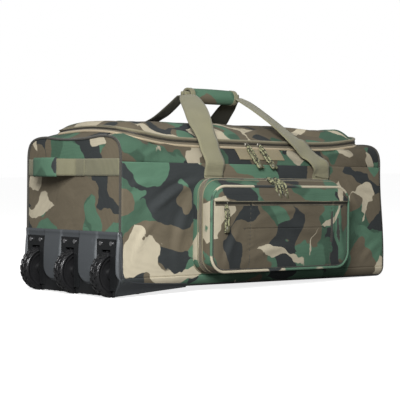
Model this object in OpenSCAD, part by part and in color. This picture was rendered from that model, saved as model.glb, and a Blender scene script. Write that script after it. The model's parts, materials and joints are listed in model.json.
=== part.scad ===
// Rolling duffel bag: a soft box with three wheels under one end, a domed zip lid,
// a zip pocket on the front, and two carry handles joined by one grip.
// The modules draw it in its own frame: X along the bag from the wheel end (-X),
// Y across it with the pocket at -Y, Z up from the underside of the fabric.
// stance() then stands it on its wheels and its far bottom edge, origin on the ground.

/* [Body] */
// Length of the fabric body
body_length = 780; // [700:5:860]
// Width of the fabric body, front to back
body_width = 332; // [300:2:360]
// Height of the seam between the side panels and the shoulders
seam_height = 259; // [240:1:280]
// Height of the rim that the lid closes on
rim_height = 303; // [296:1:320]
// Thickness of the padded fabric
fabric = 4; // [3:0.5:5]
// Radius of the long bottom edges
bottom_radius = 22; // [12:1:30]
// How far piping stands out of the fabric
piping = 2.5; // [1.5:0.5:4]

/* [Lid] */
// Length of the lid opening
lid_length = 704; // [640:4:720]
// Width of the lid opening
lid_width = 268; // [240:2:280]
// Corner radius of the lid opening
lid_corner = 40; // [20:1:60]
// Height of the lid's crown above the rim
lid_rise = 48; // [30:1:60]
// How far the crown falls towards each end
lid_end_fall = 14; // [10:1:44]

/* [Front pocket] */
// Left edge of the pocket, measured from the middle of the bag
pocket_left = -200; // [-240:1:-160]
// Right edge of the pocket, measured from the middle of the bag
pocket_right = 219; // [180:1:240]
// Height of the pocket's bottom edge
pocket_bottom = 29; // [20:1:50]
// Height of the pocket's top edge
pocket_top = 228; // [200:1:230]
// Depth of the half that stays on the bag
pocket_rear_depth = 29; // [20:1:40]
// Depth of the half that opens
pocket_front_depth = 32; // [20:1:40]
// Corner radius of the pocket
pocket_corner = 36; // [20:1:50]

/* [Carry handles] */
// Width of the carry webbing
webbing = 54; // [44:1:60]
// Thickness of the carry webbing
webbing_thickness = 2.4; // [1.5:0.1:3]
// Middle of the left-hand straps where they leave the panels
strap_left = -134; // [-160:1:-110]
// Middle of the right-hand straps where they leave the panels
strap_right = 195; // [160:1:220]
// Height at which the straps leave the panels
strap_height = 240; // [232:1:250]
// Left end of the grip
grip_left = -75; // [-90:1:-60]
// Right end of the grip
grip_right = 66; // [50:1:90]
// Height of the middle of the grip
grip_height = 416; // [406:1:430]
// Outer radius of the grip wrap
grip_radius = 17; // [15:0.5:20]

/* [Wheels] */
// Radius of a wheel over the tread
wheel_radius = 49; // [44:1:52]
// Width of a tyre
tyre_width = 26; // [22:1:28]
// Distance from the middle wheel to each outer wheel
wheel_pitch = 127; // [115:1:128]
// Height of the axles above the underside of the fabric
axle_height = 29; // [26:1:32]
// Distance of the axles inside the wheel-end panel
axle_inset = 8; // [4:1:12]
// Radius of an axle
axle_radius = 4; // [3:0.5:5]
// Radial running clearance of a bearing on its axle
running = 0.05; // [0.02:0.01:0.1]

/* [Wheel housing] */
// Height of the housing's top edge
housing_top = 116; // [105:1:125]
// Wall of the housing
housing_wall = 3; // [2:0.5:4]
// Length of the housing's tail under the bag
housing_tail = 182; // [150:1:220]
// Depth of the housing below the fabric at the wheel end
housing_drop = 16; // [10:1:17]

/* [Hidden] */
$fn = 64;

half_length = body_length / 2;
half_width = body_width / 2;
skin = 0.3;

// stance: the bag leans until the wheels and the far bottom piping touch the ground
axle_x = -half_length + axle_inset;
heel_x = half_length + piping;
heel_z = -piping;
lean = asin(wheel_radius / norm([heel_x - axle_x, heel_z - axle_height]))
    + atan2(heel_z - axle_height, heel_x - axle_x);
lift = heel_x * sin(lean) - heel_z * cos(lean);

// rim and lid
rim_y = lid_width / 2;
zip_gap = 1.2;
lid_edge = 4;
tape = 1.2;
lid_bottom = rim_height + 2 * tape + zip_gap;

// slope of the shoulders, from the seam up to the rim
slope_run = half_width - rim_y;
slope_rise = rim_height - seam_height;

// zip sliders and their pulls: a slider sits on a surface at local y = 0, outside is -y
slider_length = 11;
slider_thickness = 2.6;
slider_height = 9;
pin_radius = 0.9;
eye_radius = 1.9;
pull_pivot = [-slider_thickness - eye_radius - 0.2, -2];
pull_width = 7;
pull_thickness = 3.4;
tip_width = 8.5;
tip_thickness = 4.6;
tip_length = 15;
main_pull_length = 49;
face_pull_length = 60;
main_slider_x = [-20, 17];
pocket_slider_x = [-14, 6];
face_slider_x = -163;
face_zip_height = 176;

// pocket planes, front to back
pocket_split = -half_width - pocket_rear_depth;
pocket_face = pocket_split - pocket_front_depth;
pocket_mid = (pocket_left + pocket_right) / 2;
pocket_wide = pocket_right - pocket_left;
flap_shrink = 3;
flap_drop = 14;
pocket_slope = atan2(flap_drop + flap_shrink, pocket_front_depth);
face_tape = 0.8;

// end handles
band_thickness = 1.5;
band_low = 230;
band_width = 36;
grab_middle = 44;
grab_span = 118;
grab_foot = 37;
grab_reach = 38;

// wheel wells
well_half = 21;
well_gap = 4;
well_back = axle_x + wheel_radius + well_gap + housing_wall;
well_top = axle_height + wheel_radius + well_gap + housing_wall;

// brackets and axles
bracket_sheet = 3;
bracket_half = 31;
bracket_top = 101;
slot_half = 15;
slot_top = 79;
cheek = [18, 6, 56];
bracket_face = -half_length - housing_wall - bracket_sheet;
rivet_radius = 2.5;
rivet_height = 92;
rivet_half = 18;
bearing_radius = 11;
bearing_width = 7;
rim_radius = 38;

// outer limits that centre the frame on the whole object
reach_left = axle_x * cos(lean) + axle_height * sin(lean) - wheel_radius;
handle_reach = 40;
far_handle_height = 196;
far_handle_width = 38;
reach_right = (half_length + handle_reach) * cos(lean) + (far_handle_height + far_handle_width) * sin(lean);
reach_front = pocket_face - face_tape + pull_pivot[0] - tip_thickness / 2;
strap_pivot = half_width + 4.2;
reach_back = half_width + 11.7;

module stance() {
    translate([-(reach_left + reach_right) / 2, -(reach_front + reach_back) / 2, lift])
        rotate([0, lean, 0])
            children();
}

// arc of points about a centre
function arc(centre, radius, from, to, steps = 8) =
    [for (i = [0 : steps])
        let (a = from + (to - from) * i / steps)
        centre + radius * [cos(a), sin(a)]];

// cross-section of the bag, seen along X, grown outwards by d
function section_outline(d = 0) =
    let (r = bottom_radius,
         tilt = atan2(slope_rise, slope_run),
         seam_shift = d * tan((90 - tilt) / 2),
         rim_shift = d * tan(tilt / 2),
         side = half_width + d)
    concat(
        arc([half_width - r, r], r + d, -90, 0),
        [[side, seam_height + seam_shift], [rim_y + rim_shift, rim_height + d],
         [-rim_y - rim_shift, rim_height + d], [-side, seam_height + seam_shift]],
        arc([-half_width + r, r], r + d, 180, 270));

// stretch of the bag's cross-section between two places along X
module section(from, to, d = 0) {
    translate([from, 0, 0]) rotate([90, 0, 90])
        linear_extrude(to - from) polygon(section_outline(d));
}

module box(low, high) { translate(low) cube(high - low); }

// rectangle with round corners, as a flat shape centred on the origin
module rounded(width, height, radius) {
    square([width - 2 * radius, height], center = true);
    square([width, height - 2 * radius], center = true);
    for (x = [-1, 1], y = [-1, 1])
        translate([x * (width / 2 - radius), y * (height / 2 - radius)]) circle(radius);
}

// upright plate with the lid opening's outline, from z = low to z = high
module lid_plate(low, high, grow) {
    translate([0, 0, low])
        linear_extrude(high - low)
            rounded(lid_length + 2 * grow, lid_width + 2 * grow, lid_corner + grow);
}

// strip that follows the lid opening along its front and both ends
module lid_strip(low, high, inner, outer) {
    difference() {
        lid_plate(low, high, outer);
        lid_plate(low - 1, high + 1, inner);
        box([-half_length, rim_y - lid_corner, low - 2], [half_length, half_width, high + 2]);
    }
}

// ---- fabric body ----

module front_panel() {
    color("olivedrab") stance()
        box([-half_length + fabric, -half_width, bottom_radius],
            [half_length - fabric, -half_width + fabric, seam_height]);
}

module back_panel() {
    color("olivedrab") stance()
        box([-half_length + fabric, half_width - fabric, bottom_radius],
            [half_length - fabric, half_width, seam_height]);
}

module base_panel() {
    color("darkolivegreen") stance() difference() {
        section(well_back, half_length - fabric);
        section(well_back - 1, half_length, -fabric);
        box([-half_length, -half_width - 1, bottom_radius], [half_length, half_width + 1, 400]);
    }
}

module wheel_end_panel() {
    color("seagreen") stance() intersection() {
        section(-half_length, -half_length + fabric);
        box([-half_length, -half_width, well_top], [half_length, half_width, rim_height]);
    }
}

module far_end_panel() {
    color("seagreen") stance() section(half_length - fabric, half_length);
}

module shoulder(side) {
    intersection() {
        difference() {
            section(-half_length + fabric, half_length - fabric);
            section(-half_length, half_length, -fabric);
            lid_plate(0, 400, 0);
        }
        box([-half_length, side < 0 ? -half_width : rim_y - lid_corner, seam_height],
            [half_length, side < 0 ? -rim_y + lid_corner : half_width, 400]);
    }
}

module front_shoulder() { color("peru") stance() shoulder(-1); }

module back_shoulder() { color("peru") stance() shoulder(1); }

module end_decks() {
    color("rosybrown") stance() difference() {
        for (x = [-1, 1])
            box([min(x * (half_length - fabric), x * (lid_length / 2 - lid_corner)),
                 -rim_y + lid_corner, rim_height - fabric],
                [max(x * (half_length - fabric), x * (lid_length / 2 - lid_corner)),
                 rim_y - lid_corner, rim_height]);
        lid_plate(0, 400, 0);
    }
}

module end_piping() {
    ring = 6;
    color("khaki") stance() difference() {
        union() {
            section(-half_length - piping, -half_length - piping + ring, piping);
            section(half_length + piping - ring, half_length + piping, piping);
        }
        section(-half_length - 10, half_length + 10);
        box([-half_length - 10, -half_width - 10, -10], [0, half_width + 10, housing_top]);
    }
}

module base_board() {
    board = 3;
    color("dimgray") stance()
        box([well_back + 3, -half_width + bottom_radius, fabric],
            [half_length - fabric - 3, half_width - bottom_radius, fabric + board]);
}

// ---- main zip ----

module body_zip_tape() {
    color("black") stance() lid_strip(rim_height, rim_height + tape, -fabric, 0);
}

module body_zip_piping() {
    color("tan") stance() lid_strip(rim_height, rim_height + tape, 0, 3);
}

module lid_zip_tape() {
    color("black") stance() lid_strip(lid_bottom - tape, lid_bottom, -fabric, 0);
}

module lid_piping() {
    color("tan") stance() lid_strip(lid_bottom, lid_bottom + 4, 0, 3);
}

// crown of the lid: a barrel along X cut by a much larger one along Y
module crown(bottom, drop) {
    bulge = lid_rise - lid_edge;
    across = (pow(rim_y, 2) + pow(bulge, 2)) / (2 * bulge);
    along = (pow(lid_length / 2, 2) + pow(lid_end_fall, 2)) / (2 * lid_end_fall);
    top = lid_bottom + lid_rise;
    intersection() {
        lid_plate(bottom, top + 1, -drop);
        translate([-half_length, 0, top - across])
            rotate([0, 90, 0]) cylinder(r = across - drop, h = body_length);
        translate([0, half_width, top - along])
            rotate([90, 0, 0]) cylinder(r = along - drop, h = body_width);
    }
}

module lid_panel() {
    color("yellowgreen") stance() difference() {
        crown(lid_bottom, 0);
        crown(lid_bottom - 1, fabric);
    }
}

module blank_patch() {
    ends = [-58, 78];
    heights = [9, 38];
    thickness = 1.2;
    color("sienna") stance() intersection() {
        difference() {
            section(ends[0], ends[1], thickness);
            section(ends[0] - 1, ends[1] + 1);
        }
        box([-half_length, -half_width, seam_height + heights[0]],
            [half_length, -rim_y, seam_height + heights[1]]);
    }
}

// ---- end handles ----

// flat webbing loop seen from above: feet on the panel, then out and across
module webbing_loop(span, foot, reach, thickness) {
    difference() {
        union() {
            translate([0, -span / 2]) square([reach, span]);
            translate([0, -span / 2 - foot]) square([thickness, span + 2 * foot]);
        }
        translate([-1, -span / 2 + thickness]) square([reach + 1 - thickness, span - 2 * thickness]);
    }
}

module end_webbing_band() {
    color("darkkhaki") stance() intersection() {
        box([-half_length - band_thickness, -half_width, band_low],
            [-half_length, half_width, band_low + band_width]);
        section(-half_length - band_thickness, -half_length, -1);
    }
}

module end_grab_handle() {
    color("darkkhaki") stance()
        translate([-half_length - band_thickness, grab_middle, band_low]) mirror([1, 0, 0])
            linear_extrude(band_width)
                webbing_loop(grab_span, grab_foot, grab_reach, band_thickness);
}

module end_grab_wrap() {
    wrap = 2;
    half = 42;
    out = -half_length - band_thickness - grab_reach;
    color("seagreen") stance() difference() {
        box([out - wrap, grab_middle - half, band_low - wrap],
            [out + band_thickness + wrap, grab_middle + half, band_low + band_width + wrap]);
        box([out, grab_middle - half - 1, band_low],
            [out + band_thickness, grab_middle + half + 1, band_low + band_width]);
    }
}

module far_end_handle() {
    color("darkkhaki") stance()
        translate([half_length, 0, far_handle_height])
            linear_extrude(far_handle_width)
                webbing_loop(130, 36, handle_reach, 3);
}

// ---- carry handles ----

module anchor_straps(side) {
    for (x = [strap_left, strap_right])
        box([x - webbing / 2, side < 0 ? -half_width - webbing_thickness : half_width, 60],
            [x + webbing / 2, side < 0 ? -half_width : half_width + webbing_thickness,
             strap_height - 1.5]);
}

module front_anchor_straps() { color("darkkhaki") stance() anchor_straps(-1); }

module back_anchor_straps() { color("darkkhaki") stance() anchor_straps(1); }

// route of the front straps: height, distance in front of the middle, width, share of
// the way from the panel to the end of the grip
strap_route = [
    [strap_height + 1.5, strap_pivot, webbing, 0],
    [seam_height + 3, half_width + 10.5, webbing, 0.06],
    [seam_height + 29, half_width - 5, webbing, 0.2],
    [rim_height + 8, half_width - 15, webbing, 0.34],
    [rim_height + 41, half_width - 42, 52, 0.56],
    [rim_height + 75, half_width - 84, 46, 0.78],
    [grip_height - 9, 34, 34, 0.94],
    [grip_height, 9, 12, 1]
];

module strap_station(point, side, foot_x, grip_x) {
    translate([foot_x + (grip_x - foot_x) * point[3], side * point[1], point[0]])
        cube([point[2], webbing_thickness, webbing_thickness], center = true);
}

module strap_run(side, foot_x, grip_x) {
    for (i = [0 : len(strap_route) - 2])
        hull() {
            strap_station(strap_route[i], side, foot_x, grip_x);
            strap_station(strap_route[i + 1], side, foot_x, grip_x);
        }
}

// both legs of one handle, and the bar of folded webbing that joins them inside the grip
module handle_straps(side) {
    overhang = 9;
    bar_end = overhang + 5;
    bar_depth = [1, 9];
    bar_half_height = 5;
    strap_run(side, strap_left, grip_left - overhang);
    strap_run(side, strap_right, grip_right + overhang);
    box([grip_left - bar_end, side < 0 ? -bar_depth[1] : bar_depth[0], grip_height - bar_half_height],
        [grip_right + bar_end, side < 0 ? -bar_depth[0] : bar_depth[1], grip_height + bar_half_height]);
}

module front_handle_straps() { color("darkkhaki") stance() handle_straps(-1); }

module back_handle_straps() { color("darkkhaki") stance() handle_straps(1); }

// sleeve seen along X: it grips the front bar and is open at its back
module grip_wrap() {
    wall = 4;
    front_fill = 9;
    slot = [-8, 11];
    color("seagreen") stance()
        translate([grip_left, 0, grip_height]) rotate([90, 0, 90])
            linear_extrude(grip_right - grip_left) difference() {
                circle(grip_radius);
                difference() {
                    circle(grip_radius - wall);
                    translate([-grip_radius, -grip_radius])
                        square([grip_radius - front_fill, 2 * grip_radius]);
                }
                translate([0, slot[0]]) square([grip_radius + 1, slot[1] - slot[0]]);
            }
}

// ---- front pocket ----

// rounded outline standing in the XZ plane, from the face at y = near back to y = far
module pocket_slab(near, far, grow, drop = 0) {
    height = pocket_top - pocket_bottom - drop;
    translate([pocket_mid, far, pocket_bottom + height / 2]) rotate([90, 0, 0])
        linear_extrude(far - near)
            rounded(pocket_wide + 2 * grow, height + 2 * grow, pocket_corner + grow);
}

module pocket_rear_gusset() {
    color("olive") stance() difference() {
        pocket_slab(pocket_split, -half_width, 0);
        pocket_slab(pocket_split - 1, -half_width + 1, -fabric);
        for (x = [strap_left, strap_right])
            box([x - webbing / 2 - skin, -half_width - webbing_thickness - skin, 0],
                [x + webbing / 2 + skin, 0, strap_height]);
    }
}

module pocket_rear_piping() {
    color("tan") stance() difference() {
        pocket_slab(-half_width - 4, -half_width, piping);
        pocket_slab(-half_width - 5, -half_width + 1, 0);
        for (x = [strap_left, strap_right])
            box([x - webbing / 2 - skin, -half_width - webbing_thickness - skin, 0],
                [x + webbing / 2 + skin, 0, strap_height]);
    }
}

module pocket_zip_tape() {
    color("black") stance() difference() {
        pocket_slab(pocket_split, pocket_split + 6, 1);
        pocket_slab(pocket_split - 1, pocket_split + 7, 0);
        box([-half_length, pocket_split - 2, 0],
            [half_length, 0, pocket_bottom + pocket_corner]);
    }
}

// the opening half tapers from the split to the face
module flap_block(grow, near, far) {
    hull() {
        pocket_slab(far - 0.5, far, grow);
        pocket_slab(near, near + 0.5, grow - flap_shrink, flap_drop);
    }
}

module pocket_front_shell() {
    back = pocket_split - skin;
    color("olive") stance() difference() {
        flap_block(0, pocket_face, back);
        flap_block(-fabric, pocket_face + fabric, back + 0.01);
    }
}

module pocket_face_piping() {
    color("khaki") stance() difference() {
        pocket_slab(pocket_face - 1.2, pocket_face, -flap_shrink, flap_drop);
        pocket_slab(pocket_face - 2, pocket_face + 1, -flap_shrink - 3, flap_drop);
    }
}

module face_zip_tape() {
    color("black") stance()
        box([pocket_left + 10, pocket_face - face_tape, face_zip_height - 4],
            [pocket_right - 10, pocket_face, face_zip_height + 4]);
}

// ---- zip sliders and pulls ----

// wedge on the zip, two ears, and the pin that the pull turns on
module slider_body() {
    box([-slider_length / 2, -slider_thickness, -slider_height / 2],
        [slider_length / 2, -0.2, slider_height / 2]);
    for (side = [-1, 1])
        translate([side * 3, 0, pull_pivot[1]])
            box([-0.7, pull_pivot[0] - 1.3, -1.3], [0.7, -1, 1.3]);
    translate([-2.5, pull_pivot[0], pull_pivot[1]])
        rotate([0, 90, 0]) cylinder(r = pin_radius, h = 5);
}

// straight cord bar that hangs along -z from the pivot
module pull_bar(from, length, tip) {
    box([-pull_width / 2, -pull_thickness / 2, -length],
        [pull_width / 2, pull_thickness / 2, -from]);
    if (tip)
        box([-tip_width / 2, -tip_thickness / 2, -length],
            [tip_width / 2, tip_thickness / 2, tip_length - length]);
}

module pull_eye() {
    difference() {
        union() {
            translate([-2, 0, 0]) rotate([0, 90, 0]) cylinder(r = eye_radius, h = 4);
            box([-2, -pull_thickness / 2, -6], [2, pull_thickness / 2, -1]);
        }
        translate([-3, 0, 0]) rotate([0, 90, 0]) cylinder(r = pin_radius + running, h = 6);
    }
}

// put children on a zip: origin on the zip's surface, turned by `turn` about X
module on_zip(x, y, z, turn) {
    translate([x, y, z]) rotate([turn, 0, 0]) children();
}

module on_main_zip(x) {
    on_zip(x, -rim_y - 3.1, rim_height + tape + zip_gap / 2, 0) children();
}

// the pocket's zip runs along the top of the flap, just in front of the split
module on_pocket_zip(x) {
    back = 6;
    raised = 0.6;
    on_zip(x, pocket_split - skin - back * cos(pocket_slope),
           pocket_top - back * sin(pocket_slope) + raised, pocket_slope - 90) children();
}

module on_face_zip() {
    on_zip(face_slider_x, pocket_face - face_tape, face_zip_height, 0) children();
}

module main_slider(x) {
    tongue_depth = 2.8;
    tongue_height = 0.7;
    color("silver") stance() on_main_zip(x) {
        slider_body();
        box([-slider_length / 2, -0.3, -tongue_height / 2],
            [slider_length / 2, tongue_depth, tongue_height / 2]);
    }
}

module pocket_slider(x) { color("silver") stance() on_pocket_zip(x) slider_body(); }

module face_zip_slider() { color("silver") stance() on_face_zip() slider_body(); }

// the main pulls lie down the shoulder, which leans by `fall` from upright
module main_pull(x) {
    fall = 35;
    color("darkolivegreen") stance() on_main_zip(x)
        translate([0, pull_pivot[0], pull_pivot[1]]) rotate([-fall, 0, 0]) {
            pull_eye();
            pull_bar(5, main_pull_length, true);
        }
}

// the pocket pulls lie over the pocket's top edge and hang down its face
module pocket_pull(x) {
    over = 31;
    down = 31;
    color("darkolivegreen") stance() on_pocket_zip(x)
        translate([0, pull_pivot[0], pull_pivot[1]]) {
            pull_eye();
            pull_bar(5, over, false);
            translate([0, 0, -over + 1]) rotate([90 - pocket_slope, 0, 0])
                pull_bar(-1, down, true);
        }
}

module face_zip_pull() {
    color("darkolivegreen") stance() on_face_zip()
        translate([0, pull_pivot[0], pull_pivot[1]]) {
            pull_eye();
            pull_bar(5, face_pull_length, true);
        }
}

// ---- wheel housing ----

module at_wheels() {
    for (i = [-1 : 1]) translate([0, i * wheel_pitch, 0]) children();
}

// side view of the housing below the fabric, from its foot line up to `top`
module housing_side(top) {
    tail = -half_length + housing_tail;
    polygon(concat(
        [[-half_length - housing_wall, -housing_drop], [tail, -housing_wall]],
        top));
}

module housing_shell() {
    tail = -half_length + housing_tail;
    corner = -half_length + 8;
    tail_rise = 9;
    sweep = [corner + 10, 22];
    column_foot = 40;
    outer = half_width + housing_wall;
    front = -half_length - housing_wall;
    box([front, -outer, -housing_drop], [-half_length, outer, housing_top]);
    translate([0, outer, 0]) rotate([90, 0, 0]) linear_extrude(2 * outer)
        housing_side([[tail, 0], [front, housing_wall - housing_drop]]);
    for (y = [-half_width, outer])
        translate([0, y, 0]) rotate([90, 0, 0]) linear_extrude(housing_wall)
            housing_side([[tail, tail_rise], sweep, [corner, column_foot],
                          [corner, housing_top], [front, housing_top]]);
    at_wheels()
        box([-half_length - 1, -well_half - housing_wall, 3 - housing_drop],
            [well_back, well_half + housing_wall, well_top]);
}

module wheel_housing() {
    color("dimgray") stance() difference() {
        housing_shell();
        at_wheels() {
            box([-half_length, -well_half, -housing_drop - 10],
                [well_back - housing_wall, well_half, well_top - housing_wall]);
            box([-half_length - 20, -cheek[0] - 0.5, -housing_drop - 10],
                [-half_length + 1, cheek[0] + 0.5, slot_top + 1]);
        }
    }
}

module wheel_bracket(i) {
    color("black") stance() translate([0, i * wheel_pitch, 0]) difference() {
        union() {
            box([bracket_face, -bracket_half, -4],
                [bracket_face + bracket_sheet, bracket_half, bracket_top]);
            for (side = [-1, 1])
                box([bracket_face, side < 0 ? -cheek[0] : slot_half, cheek[1]],
                    [axle_x + 16, side < 0 ? -slot_half : cheek[0], cheek[2]]);
        }
        box([bracket_face - 1, -slot_half, -5],
            [bracket_face + bracket_sheet + 1, slot_half, slot_top]);
        translate([axle_x, 30, axle_height]) rotate([90, 0, 0]) cylinder(r = axle_radius, h = 60);
        for (side = [-1, 1])
            translate([bracket_face - 1, side * rivet_half, rivet_height])
                rotate([0, 90, 0]) cylinder(r = rivet_radius, h = bracket_sheet + 2);
    }
}

module bracket_rivets() {
    head = [4.5, 1.8];
    color("silver") stance() at_wheels()
        for (side = [-1, 1])
            translate([bracket_face, side * rivet_half, rivet_height]) rotate([0, 90, 0]) {
                cylinder(r = rivet_radius, h = bracket_sheet);
                translate([0, 0, -head[1]]) cylinder(r = head[0], h = head[1]);
            }
}

// ---- wheels ----

// put children on an axle line: local z runs along the axle
module on_axle(i) {
    stance() translate([axle_x, i * wheel_pitch, axle_height]) rotate([90, 0, 0]) children();
}

module wheel_axle(i) {
    head = [6.5, 2];
    color("silver") on_axle(i) {
        cylinder(r = axle_radius, h = 2 * cheek[0], center = true);
        for (side = [-1, 1])
            translate([0, 0, side * (cheek[0] + head[1] / 2)])
                cylinder(r = head[0], h = head[1], center = true);
    }
}

module wheel_hub(i) {
    width = tyre_width - 2;
    dish = [16, 33, 5];
    color("gray") on_axle(i) difference() {
        cylinder(r = rim_radius, h = width, center = true);
        cylinder(r = bearing_radius - 3, h = width + 2, center = true);
        for (side = [-1, 1]) {
            translate([0, 0, side * (width - bearing_width + 1) / 2])
                cylinder(r = bearing_radius, h = bearing_width + 1, center = true);
            translate([0, 0, side * (width - dish[2] + 1) / 2]) difference() {
                cylinder(r = dish[1], h = dish[2] + 1, center = true);
                cylinder(r = dish[0], h = dish[2] + 2, center = true);
            }
        }
    }
}

module wheel_tyre(i) {
    shoulder = 5;
    half = tyre_width / 2;
    color("black") on_axle(i) rotate_extrude()
        polygon(concat(
            [[rim_radius, -half]],
            arc([wheel_radius - shoulder, shoulder - half], shoulder, -90, 0, 6),
            arc([wheel_radius - shoulder, half - shoulder], shoulder, 0, 90, 6),
            [[rim_radius, half]]));
}

module wheel_bearings(i) {
    width = tyre_width - 2;
    color("lightsteelblue") on_axle(i)
        for (side = [-1, 1])
            translate([0, 0, side * (width - bearing_width) / 2]) difference() {
                cylinder(r = bearing_radius, h = bearing_width, center = true);
                cylinder(r = axle_radius + running, h = bearing_width + 1, center = true);
            }
}

front_panel();
back_panel();
base_panel();
wheel_end_panel();
far_end_panel();
front_shoulder();
back_shoulder();
end_decks();
end_piping();
base_board();
body_zip_tape();
body_zip_piping();
end_webbing_band();
end_grab_handle();
end_grab_wrap();
far_end_handle();
front_anchor_straps();
back_anchor_straps();
blank_patch();
pocket_rear_gusset();
pocket_rear_piping();
pocket_zip_tape();
wheel_housing();
bracket_rivets();
wheel_bracket(-1);  // wheel_bracket_1
wheel_bracket(0);  // wheel_bracket_2
wheel_bracket(1);  // wheel_bracket_3
wheel_axle(-1);  // wheel_axle_1
wheel_axle(0);  // wheel_axle_2
wheel_axle(1);  // wheel_axle_3
wheel_hub(-1);  // wheel_hub_1
wheel_hub(0);  // wheel_hub_2
wheel_hub(1);  // wheel_hub_3
wheel_tyre(-1);  // wheel_tyre_1
wheel_tyre(0);  // wheel_tyre_2
wheel_tyre(1);  // wheel_tyre_3
wheel_bearings(-1);  // wheel_bearings_1
wheel_bearings(0);  // wheel_bearings_2
wheel_bearings(1);  // wheel_bearings_3
lid_panel();
lid_piping();
lid_zip_tape();
front_handle_straps();
grip_wrap();
back_handle_straps();
pocket_front_shell();
pocket_face_piping();
face_zip_tape();
main_slider(main_slider_x[0]);  // main_slider_left
main_slider(main_slider_x[1]);  // main_slider_right
pocket_slider(pocket_slider_x[0]);  // pocket_slider_left
pocket_slider(pocket_slider_x[1]);  // pocket_slider_right
face_zip_slider();  // face_slider
main_pull(main_slider_x[0]);  // main_pull_left
main_pull(main_slider_x[1]);  // main_pull_right
pocket_pull(pocket_slider_x[0]);  // pocket_pull_left
pocket_pull(pocket_slider_x[1]);  // pocket_pull_right
face_zip_pull();  // face_pull
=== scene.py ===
"""Looks of a rolling duffel bag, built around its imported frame.

Every shape is drawn in the bag's own frame, in metres: X from the wheel end (-X) to the far
end, Y from the pocket side (-Y) to the back, Z up from the underside of the fabric. The
matrix STANCE, worked out from the frame's joints, then leans it onto its wheels.
"""

import json
import math

import bmesh
import bpy
import numpy as np
from mathutils import Matrix, Vector, noise


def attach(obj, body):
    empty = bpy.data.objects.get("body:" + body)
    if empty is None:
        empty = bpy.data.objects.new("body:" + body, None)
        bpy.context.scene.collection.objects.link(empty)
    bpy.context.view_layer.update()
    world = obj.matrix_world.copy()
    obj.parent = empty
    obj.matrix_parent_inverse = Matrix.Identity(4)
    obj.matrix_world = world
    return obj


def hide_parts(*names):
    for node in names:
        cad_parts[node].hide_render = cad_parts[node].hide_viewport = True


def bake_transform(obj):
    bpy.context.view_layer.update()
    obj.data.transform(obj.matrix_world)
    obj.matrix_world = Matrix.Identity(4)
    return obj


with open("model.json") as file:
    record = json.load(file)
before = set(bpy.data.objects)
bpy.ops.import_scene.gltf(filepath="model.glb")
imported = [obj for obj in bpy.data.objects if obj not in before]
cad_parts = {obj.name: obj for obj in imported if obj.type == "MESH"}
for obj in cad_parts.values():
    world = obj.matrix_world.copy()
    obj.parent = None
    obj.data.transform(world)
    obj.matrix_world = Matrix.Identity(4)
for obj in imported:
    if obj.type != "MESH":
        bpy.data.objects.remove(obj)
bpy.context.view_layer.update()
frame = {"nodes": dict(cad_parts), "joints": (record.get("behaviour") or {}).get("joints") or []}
JOINTS = {j["name"]: j for j in frame["joints"]}

# ---------------------------------------------------------------- sizes, in metres

HALF_L = 0.390
HALF_W = 0.166
SEAM_Z = 0.259
CORNER_R = 0.022
CLOTH = 0.0020  # thickness of the printed cloth
LID_HALF_L = 0.352
LID_HALF_W = 0.134
LID_CORNER = 0.040
POCKET_X = (-0.200, 0.219)
POCKET_Z = (0.029, 0.228)
POCKET_R = 0.036
POCKET_SPLIT = -HALF_W - 0.029
POCKET_FACE = POCKET_SPLIT - 0.032
STRAP_X = (-0.144, 0.185)
WEBBING = 0.054
GRIP_X = (-0.075, 0.066)
GRIP_Z = 0.416
AXLE_X = -HALF_L + 0.008
AXLE_Z = 0.029
WHEEL_R = 0.049
TYRE_W = 0.026
WHEEL_Y = (-0.127, 0.0, 0.127)
HOUSING_TOP = 0.116
WHEEL_END_LOW = 0.085  # lower edge of the wheel end's cloth
END_BAND_Z = 0.248

SKY = 0.20  # strength of the light from all round
FLOOR_GLOW = 0.80  # lifts the floor to the white of the surround


def stance():
    """Matrix from the bag's own frame to the row frame, from the lid's and a wheel's joint."""
    along = -Vector(JOINTS["lid_hinge"]["axis"]).normalized()
    across = Vector((0, 1, 0))
    up = along.cross(across)
    turn = Matrix((along, across, up)).transposed()
    axle = Vector(JOINTS["wheel_spin_2"]["pos_m"])
    shift = axle - turn @ Vector((AXLE_X, 0, AXLE_Z))
    return Matrix.Translation(shift) @ turn.to_4x4()


STANCE = stance()
STANCE_ROWS = np.array(STANCE)


def ramp(value, low, high):
    t = np.clip((np.asarray(value, float) - low) / (high - low), 0, 1)
    return t * t * (3 - 2 * t)


def to_row(points):
    """Points in the bag's frame, as an array, moved to the row frame.

    On the way the foot of the far end slumps outwards a little, as a loaded bag's does.
    """
    p = np.array(points, float)
    p[..., 0] += 0.015 * ramp(p[..., 0], 0.24, HALF_L) * ramp(-p[..., 2], -0.25, -0.05)
    return p @ STANCE_ROWS[:3, :3].T + STANCE_ROWS[:3, 3]


# ---------------------------------------------------------------- camera, lights and stage

def add_camera():
    """Camera at the photograph's viewing angle, placed in the bag's frame."""
    place = Vector((-2.0532, -2.3298, 0.2102))
    heading = math.radians(49.07)
    pitch = -0.0101
    roll = 0.0091
    focal_per_width = 3.371
    data = bpy.data.cameras.new("camera")
    data.sensor_width = 36.0
    data.lens = 36.0 * focal_per_width
    data.clip_end = 100
    camera = bpy.data.objects.new("camera", data)
    bpy.context.scene.collection.objects.link(camera)
    aim = (Matrix.Rotation(heading - math.pi / 2, 4, "Z") @ Matrix.Rotation(math.pi / 2 + pitch, 4, "X")
           @ Matrix.Rotation(roll, 4, "Z"))
    camera.matrix_world = STANCE @ Matrix.Translation(place) @ aim
    bpy.context.scene.camera = camera


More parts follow.
